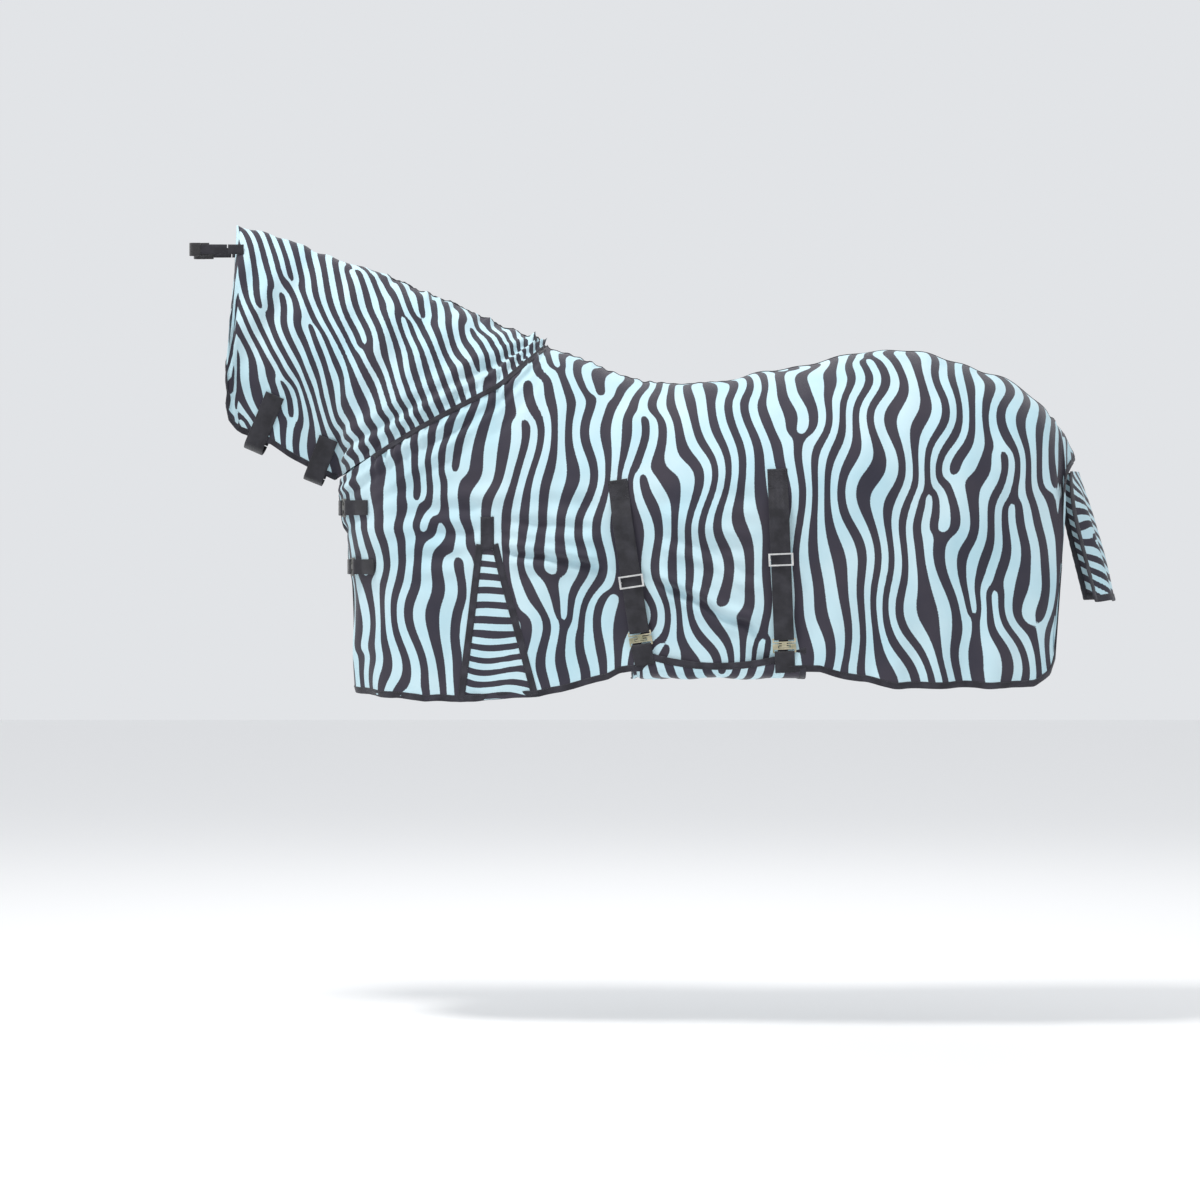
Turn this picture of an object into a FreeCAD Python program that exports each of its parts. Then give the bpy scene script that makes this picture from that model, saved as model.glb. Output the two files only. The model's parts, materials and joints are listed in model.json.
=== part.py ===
import FreeCAD, Part

import math
import os

import Sketcher
from FreeCAD import Placement, Rotation, Vector

# Full-neck mesh fly sheet with a belly flap and a tail flap, as it hangs on a standing horse.
# +X runs to the tail, -Y is the horse's left side, +Z is up. The origin is on the spine at the
# withers. All sizes are in millimetres.

doc = FreeCAD.newDocument("fly_sheet")
sizes = doc.addObject("Spreadsheet::Sheet", "sizes")

# ---------------------------------------------------------------- driving sizes

DRIVING = [
    ("mesh_thick", 1.5, "mesh cloth, with a little body"),
    ("binding_wide", 15, "folded edge binding"),
    ("binding_proud", 0.8, "how far binding stands off the cloth, each face"),
    ("tape_thick", 1.4, "sewn-on tapes and patches"),
    ("tape_gap", 0.2, "air between cloth and tape"),
    ("spine_tape_wide", 14, "tape over the spine seam"),
    ("crest_elastic_wide", 9, "elastic along the crest"),
    ("neck_seam_wide", 12, "tape over the neck seam"),
    ("front_gap", 4, "half the gap between the two front edges"),
    ("shoulder_x", -450, "where the chest curve meets the side"),
    ("chest_x", -717, "front of the chest at the neck"),
    ("shoulder_half", 200, "half the width at the shoulder"),
    ("chest_lean", 42, "how far the front falls back towards the hem"),
    ("chest_lean_top", -272, "where that lean starts"),
    ("chest_lean_drop", 350, "height over which it leans"),
    ("web_wide", 50, "surcingle webbing"),
    ("web_thick", 1.8, "webbing thickness"),
    ("chest_web_wide", 38, "chest webbing"),
    ("poll_web_wide", 25, "poll webbing"),
    ("neck_web_wide", 50, "neck strap webbing"),
    ("metal_thick", 2.5, "hook and plate thickness"),
    ("metal_gap", 0.4, "air between hook tongue and plate"),
    ("metal_bar", 3.5, "bars of hook and plate"),
    ("metal_side", 3.4, "side bars of hook and plate"),
    ("metal_slot", 4.5, "webbing slots"),
    ("metal_slot_spare", 1.5, "slot width beyond the webbing"),
    ("tongue_wide", 12, "tongue of the T hook"),
    ("tongue_long", 8, "tongue length"),
    ("tee_wide", 27, "head of the T hook"),
    ("tee_high", 4, "head height"),
    ("key_wide", 31, "key slot in the plate"),
    ("key_high", 7, "key slot height"),
    ("metal_base", 2, "lowest metal above its own origin"),
    ("metal_round", 0.9, "rounding of the metal edges"),
    ("slide_wide", 62, "slide adjuster"),
    ("slide_high", 32, "slide adjuster height"),
    ("slide_bar", 4, "slide adjuster wire"),
    ("slide_side", 4.6, "slide adjuster side bars"),
    ("slide_room", 5.2, "room for two layers of webbing in the slide"),
    ("tail_half_top", 138, "half the tail flap's width at its seam"),
    ("tail_half_low", 150, "half the tail flap's width at its hem"),
    ("patch_wide", 34, "gusset patch"),
    ("patch_high", 78, "gusset patch height"),
]

# x, height of the back line
BACK_LINE = [
    (-1030, 399), (-985, 387), (-852, 350), (-732, 302), (-600, 260), (-532, 227), (-437, 190),
    (-317, 135), (-187, 82), (-100, 42), (0, 0), (75, -16), (175, -20), (250, -12), (350, 5),
    (450, 18), (520, 38), (617, 60), (705, 66), (785, 57), (885, 30), (985, -7), (1065, -60),
    (1120, -122), (1165, -215),
]

# x, height of the widest line, half the width there
WIDEST = [
    (-1030, 150, 78), (-985, 145, 80), (-852, 85, 88), (-732, 20, 118), (-600, -80, 165),
    (-500, -160, 198), (-400, -230, 220), (-250, -310, 242), (0, -360, 268), (150, -350, 290),
    (300, -335, 306), (450, -315, 312), (600, -290, 308), (750, -270, 297), (900, -260, 280),
    (1000, -265, 255), (1065, -290, 226), (1110, -320, 192), (1165, -370, 138),
]

# x, height where the side stops narrowing, half the width from there down
LOWER = [
    (-1030, -130, 40), (-985, -135, 40), (-852, -205, 38), (-732, -300, 14), (-600, -400, 160),
    (-450, -560, 200), (-400, -620, 208), (-250, -740, 228), (0, -760, 252), (150, -760, 275),
    (300, -760, 290), (450, -760, 296), (600, -760, 294), (750, -760, 284), (900, -760, 268),
    (1000, -760, 243), (1065, -760, 214), (1110, -760, 180), (1165, -760, 126),
]

# outlines seen from the side, as x, z
NECK_SEAM = [(-186, 84), (-305, -25), (-505, -132), (-605, -192), (-722, -268)]
NECK_FRONT = [(-992, 392), (-985, 275), (-983, 197), (-995, 120), (-1001, 52), (-1008, -10),
              (-1005, -75), (-998, -112)]
NECK_LOWER = [(-998, -112), (-980, -136), (-950, -156), (-892, -172), (-847, -204), (-795, -232),
              (-722, -268)]
HEM = [(-700, -783), (-682, -800), (-650, -812), (-545, -820), (-400, -826), (-205, -812),
       (-97, -786), (-30, -768), (0, -750), (30, -745), (250, -745), (450, -745), (500, -747),
       (530, -757), (600, -773),
       (700, -789), (825, -792), (950, -788), (1040, -785), (1085, -757), (1118, -697)]
REAR_EDGE = [(1118, -697), (1126, -630), (1112, -515), (1119, -275)]
GUSSET = [(-351, -440), (-315, -440), (-268, -610), (-209, -830), (-400, -830)]
FAR = 400

# surcingles on the left: name, top of the strap, centre of the slide, centre of the clip (x, z)
SURCINGLES = [
    ("front", (-6, -267), (22, -523), (53, -666)),
    ("rear", (392, -240), (407, -468), (410, -683)),
]
# chest closures: name, height of the strap's centre
CHEST_CLOSURES = [("upper", -337), ("lower", -487)]
# neck straps: name, top end and low end of the left leg (x, z)
NECK_STRAPS = [("front", (-878, -50), (-926, -160)), ("rear", (-742, -160), (-777, -246))]


def fill_sizes():
    row = 1
    for alias, value, note in DRIVING:
        sizes.set(f"A{row}", alias)
        sizes.set(f"B{row}", str(value))
        sizes.set(f"C{row}", note)
        sizes.setAlias(f"B{row}", alias)
        row += 1
    for title, table in (("back_line", BACK_LINE), ("widest", WIDEST), ("lower", LOWER)):
        for number, values in enumerate(table):
            sizes.set(f"A{row}", f"{title}_{number}")
            for column, value in zip("BCD", values):
                sizes.set(f"{column}{row}", str(value))
                sizes.setAlias(f"{column}{row}", f"{title}_{column.lower()}_{number}x")
            row += 1
    doc.recompute()


def val(alias):
    return float(sizes.get(alias))


def table_columns(title, table):
    letters = "bcd"[:len(table[0])]
    return [[val(f"{title}_{letter}_{n}x") for n in range(len(table))] for letter in letters]


# ---------------------------------------------------------------- the horse-shaped form

def clamp(value, low=0.0, high=1.0):
    return max(low, min(high, value))


def ease(value):
    value = clamp(value)
    return value * value * (3 - 2 * value)


def smooth_curve(xs, ys):
    """A curve through the points that never overshoots them."""
    steps = [(ys[i + 1] - ys[i]) / (xs[i + 1] - xs[i]) for i in range(len(xs) - 1)]
    slopes = [steps[0]]
    for before, after in zip(steps, steps[1:]):
        slopes.append(0.0 if before * after <= 0 else 2 * before * after / (before + after))
    slopes.append(steps[-1])

    def curve(x):
        x = clamp(x, xs[0], xs[-1])
        i = max(k for k in range(len(xs) - 1) if xs[k] <= x)
        span = xs[i + 1] - xs[i]
        t = (x - xs[i]) / span
        return ((2 * t ** 3 - 3 * t ** 2 + 1) * ys[i] + (t ** 3 - 2 * t ** 2 + t) * span * slopes[i]
                + (3 * t ** 2 - 2 * t ** 3) * ys[i + 1] + (t ** 3 - t ** 2) * span * slopes[i + 1])

    return curve


fill_sizes()
top_x, top_z = table_columns("back_line", BACK_LINE)
wide_x, wide_z, wide_half = table_columns("widest", WIDEST)
low_x, low_z, low_half = table_columns("lower", LOWER)
back_height = smooth_curve(top_x, top_z)
wide_height = smooth_curve(wide_x, wide_z)
wide_width = smooth_curve(wide_x, wide_half)
low_height = smooth_curve(low_x, low_z)
low_width = smooth_curve(low_x, low_half)


def lower_width(x):
    """Half the width low down, which runs round the chest as a quarter ellipse."""
    if x < val("chest_x") or x > val("shoulder_x"):
        return low_width(x)
    reach = (val("shoulder_x") - x) / (val("shoulder_x") - val("chest_x"))
    return val("shoulder_half") * math.sqrt(max(0.0, 1 - reach * reach))


def lean_at(x, z):
    fade = clamp((val("shoulder_x") - x) / (val("shoulder_x") - val("chest_x")))
    if x < val("chest_x"):
        fade = 0.0
    return val("chest_lean") * fade * ease((val("chest_lean_top") - z) / val("chest_lean_drop"))


def half_width(x, z):
    """Half the form's width at one station and height, before the chest leans."""
    top, wide, half = back_height(x), wide_height(x), wide_width(x)
    if z >= wide:
        return half * math.sqrt(max(0.0, 1 - ((z - wide) / (top - wide)) ** 2))
    low = lower_width(x)
    return low + (half - low) * (1 - ease((wide - z) / (wide - low_height(x))))


def skin_y(x, z):
    """Half the form's width at a true place."""
    station = x
    for _ in range(6):
        station = x - lean_at(station, z)
    return half_width(station, z)


def section_line(x, bottom, count):
    """Points down the left of one section, evenly spaced from the back line to the bottom."""
    top, wide = back_height(x), wide_height(x)
    fine = 90
    turn = math.acos(clamp((bottom - wide) / (top - wide), 0.0, 1.0)) if bottom > wide else math.pi / 2
    heights = [wide + (top - wide) * math.cos(turn * k / fine) for k in range(fine + 1)]
    if bottom < wide:
        heights += [wide + (bottom - wide) * k / fine for k in range(1, fine + 1)]
    line = [Vector(x + lean_at(x, z), -half_width(x, z), z) for z in heights]
    lengths = [0.0]
    for before, after in zip(line, line[1:]):
        lengths.append(lengths[-1] + (after - before).Length)
    points = []
    for k in range(count):
        target = lengths[-1] * k / (count - 1)
        i = max(n for n in range(len(lengths) - 1) if lengths[n] <= target + 1e-9)
        share = (target - lengths[i]) / (lengths[i + 1] - lengths[i])
        points.append(line[i] + (line[i + 1] - line[i]) * share)
    return points


def lifted(grid, lift):
    """The grid moved out along its own normals by lift, or by lift(point)."""
    rows, columns = len(grid), len(grid[0])
    result = []
    for i in range(rows):
        line = []
        for j in range(columns):
            along = grid[min(i + 1, rows - 1)][j] - grid[max(i - 1, 0)][j]
            down = grid[i][min(j + 1, columns - 1)] - grid[i][max(j - 1, 0)]
            normal = along.cross(down).normalize()
            amount = lift(grid[i][j]) if callable(lift) else lift
            line.append(grid[i][j] + normal * amount)
        result.append(line)
    return result


def grid_face(grid):
    surface = Part.BSplineSurface()
    surface.interpolate(grid)
    return surface.toShape()


def solid_between(inner_grid, outer_grid):
    """A closed solid between two grids of the same size."""
    inner, outer = grid_face(inner_grid), grid_face(outer_grid)
    sides = [Part.makeRuledSurface(a, b) for a, b in zip(inner.Edges, outer.Edges)]
    shell = Part.makeShell([inner, outer] + sides)
    shell.sewShape()
    solid = Part.makeSolid(shell)
    if solid.Volume < 0:
        solid.reverse()
    solid.fix(0.01, 0.01, 0.01)
    return solid


def layer(grid, low, high):
    return solid_between(lifted(grid, low), lifted(grid, high))


# ---------------------------------------------------------------- shared helpers

def add_soft(label, shape):
    """A soft sub-part, whose free-form shape is worked out in code from the sheet."""
    if shape.ShapeType == "Compound" and len(shape.Solids) == 1:
        shape = shape.Solids[0]
    piece = doc.addObject("Part::Feature", label)
    piece.Label = label
    piece.Shape = shape
    piece.Placement = Placement()
    return piece


def mirrored(shape):
    return shape.mirror(Vector(0, 0, 0), Vector(0, 1, 0))


def add_pair(label, left_shape):
    add_soft(f"{label}_left", left_shape)
    add_soft(f"{label}_right", mirrored(left_shape))


def prism(points, start=-0.75, depth=-FAR):
    """A block over the whole left side, with the given outline seen from the side."""
    corners = [Vector(x, start, z) for x, z in points]
    return Part.Face(Part.makePolygon(corners + corners[:1])).extrude(Vector(0, depth, 0))


def beside(points, offset):
    """The same open line, moved to the left of its own direction."""
    moved = []
    for k, (x, z) in enumerate(points):
        before = points[max(k - 1, 0)]
        after = points[min(k + 1, len(points) - 1)]
        first = Vector(x - before[0], 0, z - before[1])
        second = Vector(after[0] - x, 0, after[1] - z)
        if first.Length == 0:
            first = second
        if second.Length == 0:
            second = first
        first.normalize()
        second.normalize()
        middle = (first + second).normalize()
        stretch = 1 / max(0.5, middle.dot(first))
        moved.append((x - middle.z * offset * stretch, z + middle.x * offset * stretch))
    return moved


def strip(points, offset, start=-0.75):
    return prism(points + beside(points, offset)[::-1], start)


# ---------------------------------------------------------------- the two shells of cloth

def body_stations():
    turns = [1.2, 5, 12, 21, 32, 44, 57, 72]
    reach = val("shoulder_x") - val("chest_x")
    around = [val("shoulder_x") - reach * math.cos(math.radians(turn)) for turn in turns]
    along = [-450, -400, -330, -250, -170, -90, 0, 75, 150, 225, 300, 380, 460, 540, 620, 700, 780,
             860, 930, 990, 1040, 1080, 1110, 1140, 1165]
    return around + along


seam_height = smooth_curve([p[0] for p in NECK_SEAM[::-1]], [p[1] for p in NECK_SEAM[::-1]])


def neck_bottom(x):
    if x <= NECK_SEAM[-1][0]:
        return low_height(x) - 12
    return seam_height(x) - 45


body_grid = [section_line(x, -850, 26) for x in body_stations()]
neck_grid = [section_line(x, neck_bottom(x), 20)
             for x in (-1030, -985, -920, -852, -790, -732, -717, -690, -660, -600, -532, -437, -370,
                       -317, -250, -187, -170)]
thick = val("mesh_thick")
proud = val("binding_proud")
tape_low = val("tape_gap")
tape_high = tape_low + val("tape_thick")
body_cloth = layer(body_grid, -thick, 0)
body_edge = layer(body_grid, -thick - proud, proud)
body_tape = layer(body_grid, tape_low, tape_high)
neck_cloth = layer(neck_grid, -thick, 0)
neck_edge = layer(neck_grid, -thick - proud, proud)
neck_tape = layer(neck_grid, tape_low, tape_high)

wide = val("binding_wide")
front_gap = val("front_gap")
front_box_x = -600


def front_box(edge):
    """The space ahead of the shoulder that lies nearer the middle than edge."""
    return Part.makeBox(300, edge, 700, Vector(front_box_x - 300, -edge, -950))


# ---------------------------------------------------------------- body panels and their trim

def make_body():
    hem_strip, rear_strip = strip(HEM, wide), strip(REAR_EDGE, wide)
    outline = ([(-760, -268)] + NECK_SEAM[::-1] + [(-186, 180), (1250, 180), (1250, -180)]
               + [(1140, -225)] + REAR_EDGE[::-1] + HEM[::-1][1:] + [(-760, -783)])
    whole = body_cloth.common(prism(outline)).cut(hem_strip).cut(rear_strip)
    add_pair("body_panel", whole.cut(prism(GUSSET)).cut(front_box(front_gap + wide)))
    add_pair("shoulder_gusset", whole.common(prism(GUSSET)))

    add_pair("hem_binding", body_edge.common(hem_strip).cut(front_box(front_gap + wide)))
    add_pair("rear_binding", body_edge.common(rear_strip).cut(hem_strip))

    front_outline = prism([(-800, -272), (-560, -272), (-560, -900), (-800, -900)])
    front = body_edge.common(front_outline).common(front_box(front_gap + wide))
    below_hem = prism([(-800, -785), (-560, -785), (-560, -950), (-800, -950)])
    front = front.cut(front_box(front_gap)).cut(below_hem)
    add_pair("chest_binding", front)


def make_gusset_trim():
    front_line = [GUSSET[0], GUSSET[4]]
    rear_line = GUSSET[1:4]
    tape_end = prism([(-500, -440), (-100, -440)] + [p for p in beside(HEM, wide + 1)[::-1]
                                                     if -500 < p[0] < -100])
    front_tape = body_tape.common(strip(front_line, -20)).common(tape_end)
    rear_tape = body_tape.common(strip(rear_line, 17)).common(tape_end)
    add_pair("gusset_tapes", Part.makeCompound([front_tape.Solids[0], rear_tape.Solids[0]]))
    middle = (GUSSET[0][0] + GUSSET[1][0]) / 2
    half, base, high = val("patch_wide") / 2, GUSSET[0][1] + 1, val("patch_high")
    patch = [(middle - half, base), (middle + half, base), (middle + half, base + high),
             (middle - half, base + high)]
    add_pair("gusset_patch", body_tape.common(prism(patch)))


def make_spine_tape():
    half = val("spine_tape_wide") / 2
    left = body_tape.common(Part.makeBox(1310, half, 500, Vector(-175, -half, -260)))
    add_soft("spine_tape", left.fuse(mirrored(left)).removeSplitter())


# ---------------------------------------------------------------- neck panels and their trim

def make_neck():
    front_strip = strip([(-993, 420)] + NECK_FRONT[1:], wide)
    lower_strip = strip(NECK_LOWER[:-1] + [(-730, -264)], wide)
    outline = ([(-993, 420)] + NECK_FRONT[1:] + NECK_LOWER[1:-1] + [(-730, -264)]
               + NECK_SEAM[::-1][1:] + [(-186, 180), (-990, 460)])
    add_pair("neck_panel", neck_cloth.common(prism(outline)).cut(front_strip).cut(lower_strip))
    add_pair("neck_front_binding", neck_edge.common(front_strip))
    add_pair("neck_lower_binding", neck_edge.common(lower_strip).cut(front_strip))

    seam = [(-200, 76)] + NECK_SEAM[1:-1] + [(-700, -254)]
    add_pair("neck_seam_tape", neck_tape.common(strip(beside(seam, -1), -val("neck_seam_wide"), -8)))

    half = val("crest_elastic_wide") / 2
    crest = neck_tape.common(Part.makeBox(405, half, 500, Vector(-600, -half, 0)))
    add_soft("crest_elastic", crest.fuse(mirrored(crest)).removeSplitter())


make_body()
make_gusset_trim()
make_spine_tape()
make_neck()

# ---------------------------------------------------------------- bands of webbing

def band(path, thickness, width, frame):
    """Webbing that follows a flat path of (u, v) points, as wide as width along the frame's Z."""
    centre = [Vector(u, v, 0) for u, v in path]
    one_side, other_side = [], []
    for k, point in enumerate(centre):
        run = (centre[min(k + 1, len(centre) - 1)] - centre[max(k - 1, 0)]).normalize()
        across = Vector(-run.y, run.x, 0) * (thickness / 2)
        one_side.append(point + across)
        other_side.append(point - across)
    ring = one_side + other_side[::-1]
    face = Part.Face(Part.makePolygon(ring + ring[:1]))
    solid = face.extrude(Vector(0, 0, width))
    place = frame.multiply(Placement(Vector(0, 0, -width / 2), Rotation()))
    return solid.transformed(place.toMatrix(), True)


def stood_off(path, distance):
    """A flat path moved square to itself, outwards."""
    moved = []
    for k, (u, v) in enumerate(path):
        before, after = path[max(k - 1, 0)], path[min(k + 1, len(path) - 1)]
        run_u, run_v = after[0] - before[0], after[1] - before[1]
        length = math.hypot(run_u, run_v) * (1 if run_u > 0 else -1)
        moved.append((u - run_v / length * distance, v + run_u / length * distance))
    return moved


def arc_points(centre_u, centre_v, radius, start, end, count=7):
    """Points round an arc, with angles in degrees."""
    angles = [math.radians(start + (end - start) * k / (count - 1)) for k in range(count)]
    return [(centre_u + radius * math.cos(a), centre_v + radius * math.sin(a)) for a in angles]


def frame_from(origin, u_axis, v_axis):
    """A placement whose X is u_axis, Y is near v_axis and Z completes them."""
    u = Vector(u_axis).normalize()
    w = u.cross(Vector(v_axis)).normalize()
    v = w.cross(u)
    matrix = FreeCAD.Matrix(u.x, v.x, w.x, origin.x, u.y, v.y, w.y, origin.y,
                            u.z, v.z, w.z, origin.z, 0, 0, 0, 1)
    return Placement(matrix)


def skin_point(x, z):
    return Vector(x, -skin_y(x, z), z)


def outermost(shape, frame, u, w, reach=120):
    """How far out a shape comes at one spot under webbing, in the webbing's own frame."""
    probe = Part.makeLine(frame.multVec(Vector(u, reach, w)), frame.multVec(Vector(u, -PROBE_DEPTH, w)))
    into = frame.inverse()
    return max([into.multVec(corner.Point).y for corner in shape.section(probe).Vertexes], default=None)


def heights_under(shape, frame, start, end, width, count):
    """A curve of the outermost height anywhere across webbing, from start to end along it."""
    marks = [start + (end - start) * k / (count - 1) for k in range(count)]
    heights = []
    for u in marks:
        found = [outermost(shape, frame, u, width * side / 4) for side in (-2, -1, 0, 1, 2)]
        found = [height for height in found if height is not None]
        heights.append(max(found) if found else heights[-1])
    return lambda u: interpolated(marks, heights, u)


def interpolated(marks, values, mark):
    """A value between the listed ones, and the end value beyond them."""
    for k in range(1, len(marks)):
        low, high = sorted((k - 1, k), key=lambda index: marks[index])
        if marks[low] <= mark <= marks[high]:
            share = (mark - marks[low]) / (marks[high] - marks[low])
            return values[low] + (values[high] - values[low]) * share
    ends = sorted((0, len(marks) - 1), key=lambda index: abs(marks[index] - mark))
    return values[ends[0]]


# ---------------------------------------------------------------- metal fittings

def plane_of(body, role):
    for feature in body.Origin.OriginFeatures:
        if feature.Role == role:
            return feature
    raise ValueError(role)


def box_sketch(body, name, width, low, high):
    """A rectangle that is centred on the upright axis, between two heights, all as expressions."""
    sketch = body.newObject("Sketcher::SketchObject", name)
    sketch.AttachmentSupport = [(plane_of(body, "XZ_Plane"), "")]
    sketch.MapMode = "FlatFace"
    corners = [Vector(-5, 5, 0), Vector(5, 5, 0), Vector(5, 9, 0), Vector(-5, 9, 0)]
    for k in range(4):
        sketch.addGeometry(Part.LineSegment(corners[k], corners[(k + 1) % 4]))
    for k in range(4):
        sketch.addConstraint(Sketcher.Constraint("Coincident", k, 2, (k + 1) % 4, 1))
    sketch.addConstraint(Sketcher.Constraint("Horizontal", 2))
    sketch.addConstraint(Sketcher.Constraint("Vertical", 1))
    sketch.addConstraint(Sketcher.Constraint("Vertical", 3))
    sketch.addConstraint(Sketcher.Constraint("Symmetric", 0, 1, 0, 2, -2))
    across = sketch.addConstraint(Sketcher.Constraint("DistanceX", 0, 1, 0, 2, 10))
    foot = sketch.addConstraint(Sketcher.Constraint("DistanceY", -1, 1, 0, 1, 5))
    head = sketch.addConstraint(Sketcher.Constraint("DistanceY", -1, 1, 2, 1, 9))
    sketch.setExpression(f"Constraints[{across}]", width)
    sketch.setExpression(f"Constraints[{foot}]", low)
    sketch.setExpression(f"Constraints[{head}]", high)
    return sketch


def pad(body, name, sketch, thickness):
    feature = body.newObject("PartDesign::Pad", name)
    feature.Profile = sketch
    feature.Midplane = True
    feature.setExpression("Length", thickness)
    return feature


def pocket(body, name, sketch):
    feature = body.newObject("PartDesign::Pocket", name)
    feature.Profile = sketch
    feature.Type = "ThroughAll"
    feature.Midplane = True
    return feature


def rounded(body, base, radius):
    """Round the corners that run through the metal."""
    doc.recompute()
    edges = []
    for number, edge in enumerate(base.Shape.Edges, start=1):
        run = edge.Vertexes[-1].Point - edge.Vertexes[0].Point
        if abs(run.y) > 0.99 * run.Length:
            edges.append(f"Edge{number}")
    feature = body.newObject("PartDesign::Fillet", "rounding")
    feature.Base = (base, edges)
    feature.setExpression("Radius", radius)
    doc.recompute()


def hook_body(label, web, frame):
    """A T hook: a slotted head for the webbing, with a tongue and cross head below it."""
    body = doc.addObject("PartDesign::Body", label)
    body.Label = label
    thickness = "sizes.metal_thick"
    outer = f"{web} + sizes.metal_slot_spare + 2 * sizes.metal_side"
    tee_top = "sizes.metal_base + sizes.tee_high"
    head_low = f"{tee_top} + sizes.tongue_long"
    slot_low = f"{head_low} + sizes.metal_bar"
    slot_high = f"{slot_low} + sizes.metal_slot"
    head_high = f"{slot_high} + sizes.metal_bar"
    pad(body, "head", box_sketch(body, "head_outline", outer, head_low, head_high), thickness)
    pad(body, "tongue", box_sketch(body, "tongue_outline", "sizes.tongue_wide",
                                   f"{tee_top} - 1", f"{head_low} + 1"), thickness)
    tee_outline = box_sketch(body, "tee_outline", "sizes.tee_wide", "sizes.metal_base", tee_top)
    pad(body, "tee", tee_outline, thickness)
    last = pocket(body, "web_slot", box_sketch(body, "web_slot_outline",
                                               f"{web} + sizes.metal_slot_spare", slot_low, slot_high))
    rounded(body, last, "sizes.metal_round")
    body.Placement = frame


def plate_body(label, web, frame):
    """The plate that takes the hook: a key slot above and a webbing slot below."""
    body = doc.addObject("PartDesign::Body", label)
    body.Label = label
    outer = f"{web} + sizes.metal_slot_spare + 2 * sizes.metal_side"
    slot_low = "sizes.metal_base + sizes.metal_bar"
    slot_high = f"{slot_low} + sizes.metal_slot"
    key_low = f"{slot_high} + sizes.metal_bar"
    key_high = f"{key_low} + sizes.key_high"
    top = f"{key_high} + sizes.metal_bar"
    pad(body, "plate", box_sketch(body, "plate_outline", outer, "sizes.metal_base", top), "sizes.metal_thick")
    pocket(body, "web_slot", box_sketch(body, "web_slot_outline",
                                        f"{web} + sizes.metal_slot_spare", slot_low, slot_high))
    last = pocket(body, "key_slot", box_sketch(body, "key_slot_outline", "sizes.key_wide", key_low, key_high))
    rounded(body, last, "sizes.metal_round")
    body.Placement = frame


def slide_body(label, frame):
    """A slide adjuster: a ring before the webbing, and a bar behind it that holds the strap's end."""
    def block(name, width, depth, height, x, y, z):
        box = doc.addObject("Part::Box", f"{label}_{name}")
        for side, size in (("Length", width), ("Width", depth), ("Height", height)):
            box.setExpression(side, size)
        for axis, place in (("x", x), ("y", y), ("z", z)):
            box.setExpression(f"Placement.Base.{axis}", place)
        return box

    bar = "sizes.slide_bar"
    high = "sizes.slide_high"
    across = "sizes.slide_wide"
    side = "sizes.slide_side"
    deep = f"2 * {bar} + sizes.slide_room"
    blocks = [
        block("top_bar", across, bar, bar, f"-{across} / 2", "0 mm", f"{high} / 2 - {bar}"),
        block("low_bar", across, bar, bar, f"-{across} / 2", "0 mm", f"-{high} / 2"),
        block("left_bar", side, bar, high, f"-{across} / 2", "0 mm", f"-{high} / 2"),
        block("right_bar", side, bar, high, f"{across} / 2 - {side}", "0 mm", f"-{high} / 2"),
        block("left_link", side, deep, bar, f"-{across} / 2", "0 mm", f"-{bar} / 2"),
        block("right_link", side, deep, bar, f"{across} / 2 - {side}", "0 mm", f"-{bar} / 2"),
        block("back_bar", across, bar, bar, f"-{across} / 2", f"{bar} + sizes.slide_room", f"-{bar} / 2"),
    ]
    whole = doc.addObject("Part::MultiFuse", label)
    whole.Shapes = blocks
    whole.Refine = True
    whole.Label = label
    whole.Placement = frame


def metal_frame(origin, outward, up):
    """A placement whose Z is up and whose -Y faces outward."""
    z_axis = Vector(up).normalize()
    x_axis = z_axis.cross(Vector(outward)).normalize()
    y_axis = z_axis.cross(x_axis)
    matrix = FreeCAD.Matrix(x_axis.x, y_axis.x, z_axis.x, origin.x, x_axis.y, y_axis.y, z_axis.y, origin.y,
                            x_axis.z, y_axis.z, z_axis.z, origin.z, 0, 0, 0, 1)
    return Placement(matrix)


# heights in the fittings, from each one's own origin
metal_bar = val("metal_bar")
metal_slot = val("metal_slot")
metal_half = val("metal_thick") / 2
hook_head_bar = (val("metal_base") + val("tee_high") + val("tongue_long") + 1.5 * metal_bar
                 + metal_slot)
plate_low_bar = val("metal_base") + metal_bar / 2
plate_key_middle = val("metal_base") + 2 * metal_bar + metal_slot + val("key_high") / 2
tee_middle = val("metal_base") + val("tee_high") / 2
web_thick = val("web_thick")
strap_lift = 15.2         # the hanging strap's middle stands at least this far off the cloth
loop_round = 3.5          # how far a loop's middle runs from its bar's middle
bar_back = loop_round     # the hook's bar lies this far behind the strap's middle
return_back = 2.3         # the doubled layer behind the strap
SEWN_TO = 45              # length of strap that is sewn down
HANG_FROM = 112           # length from which it hangs straight
PROBE_DEPTH = 60          # how far behind its frame webbing looks for cloth


# ---------------------------------------------------------------- surcingles

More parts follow.
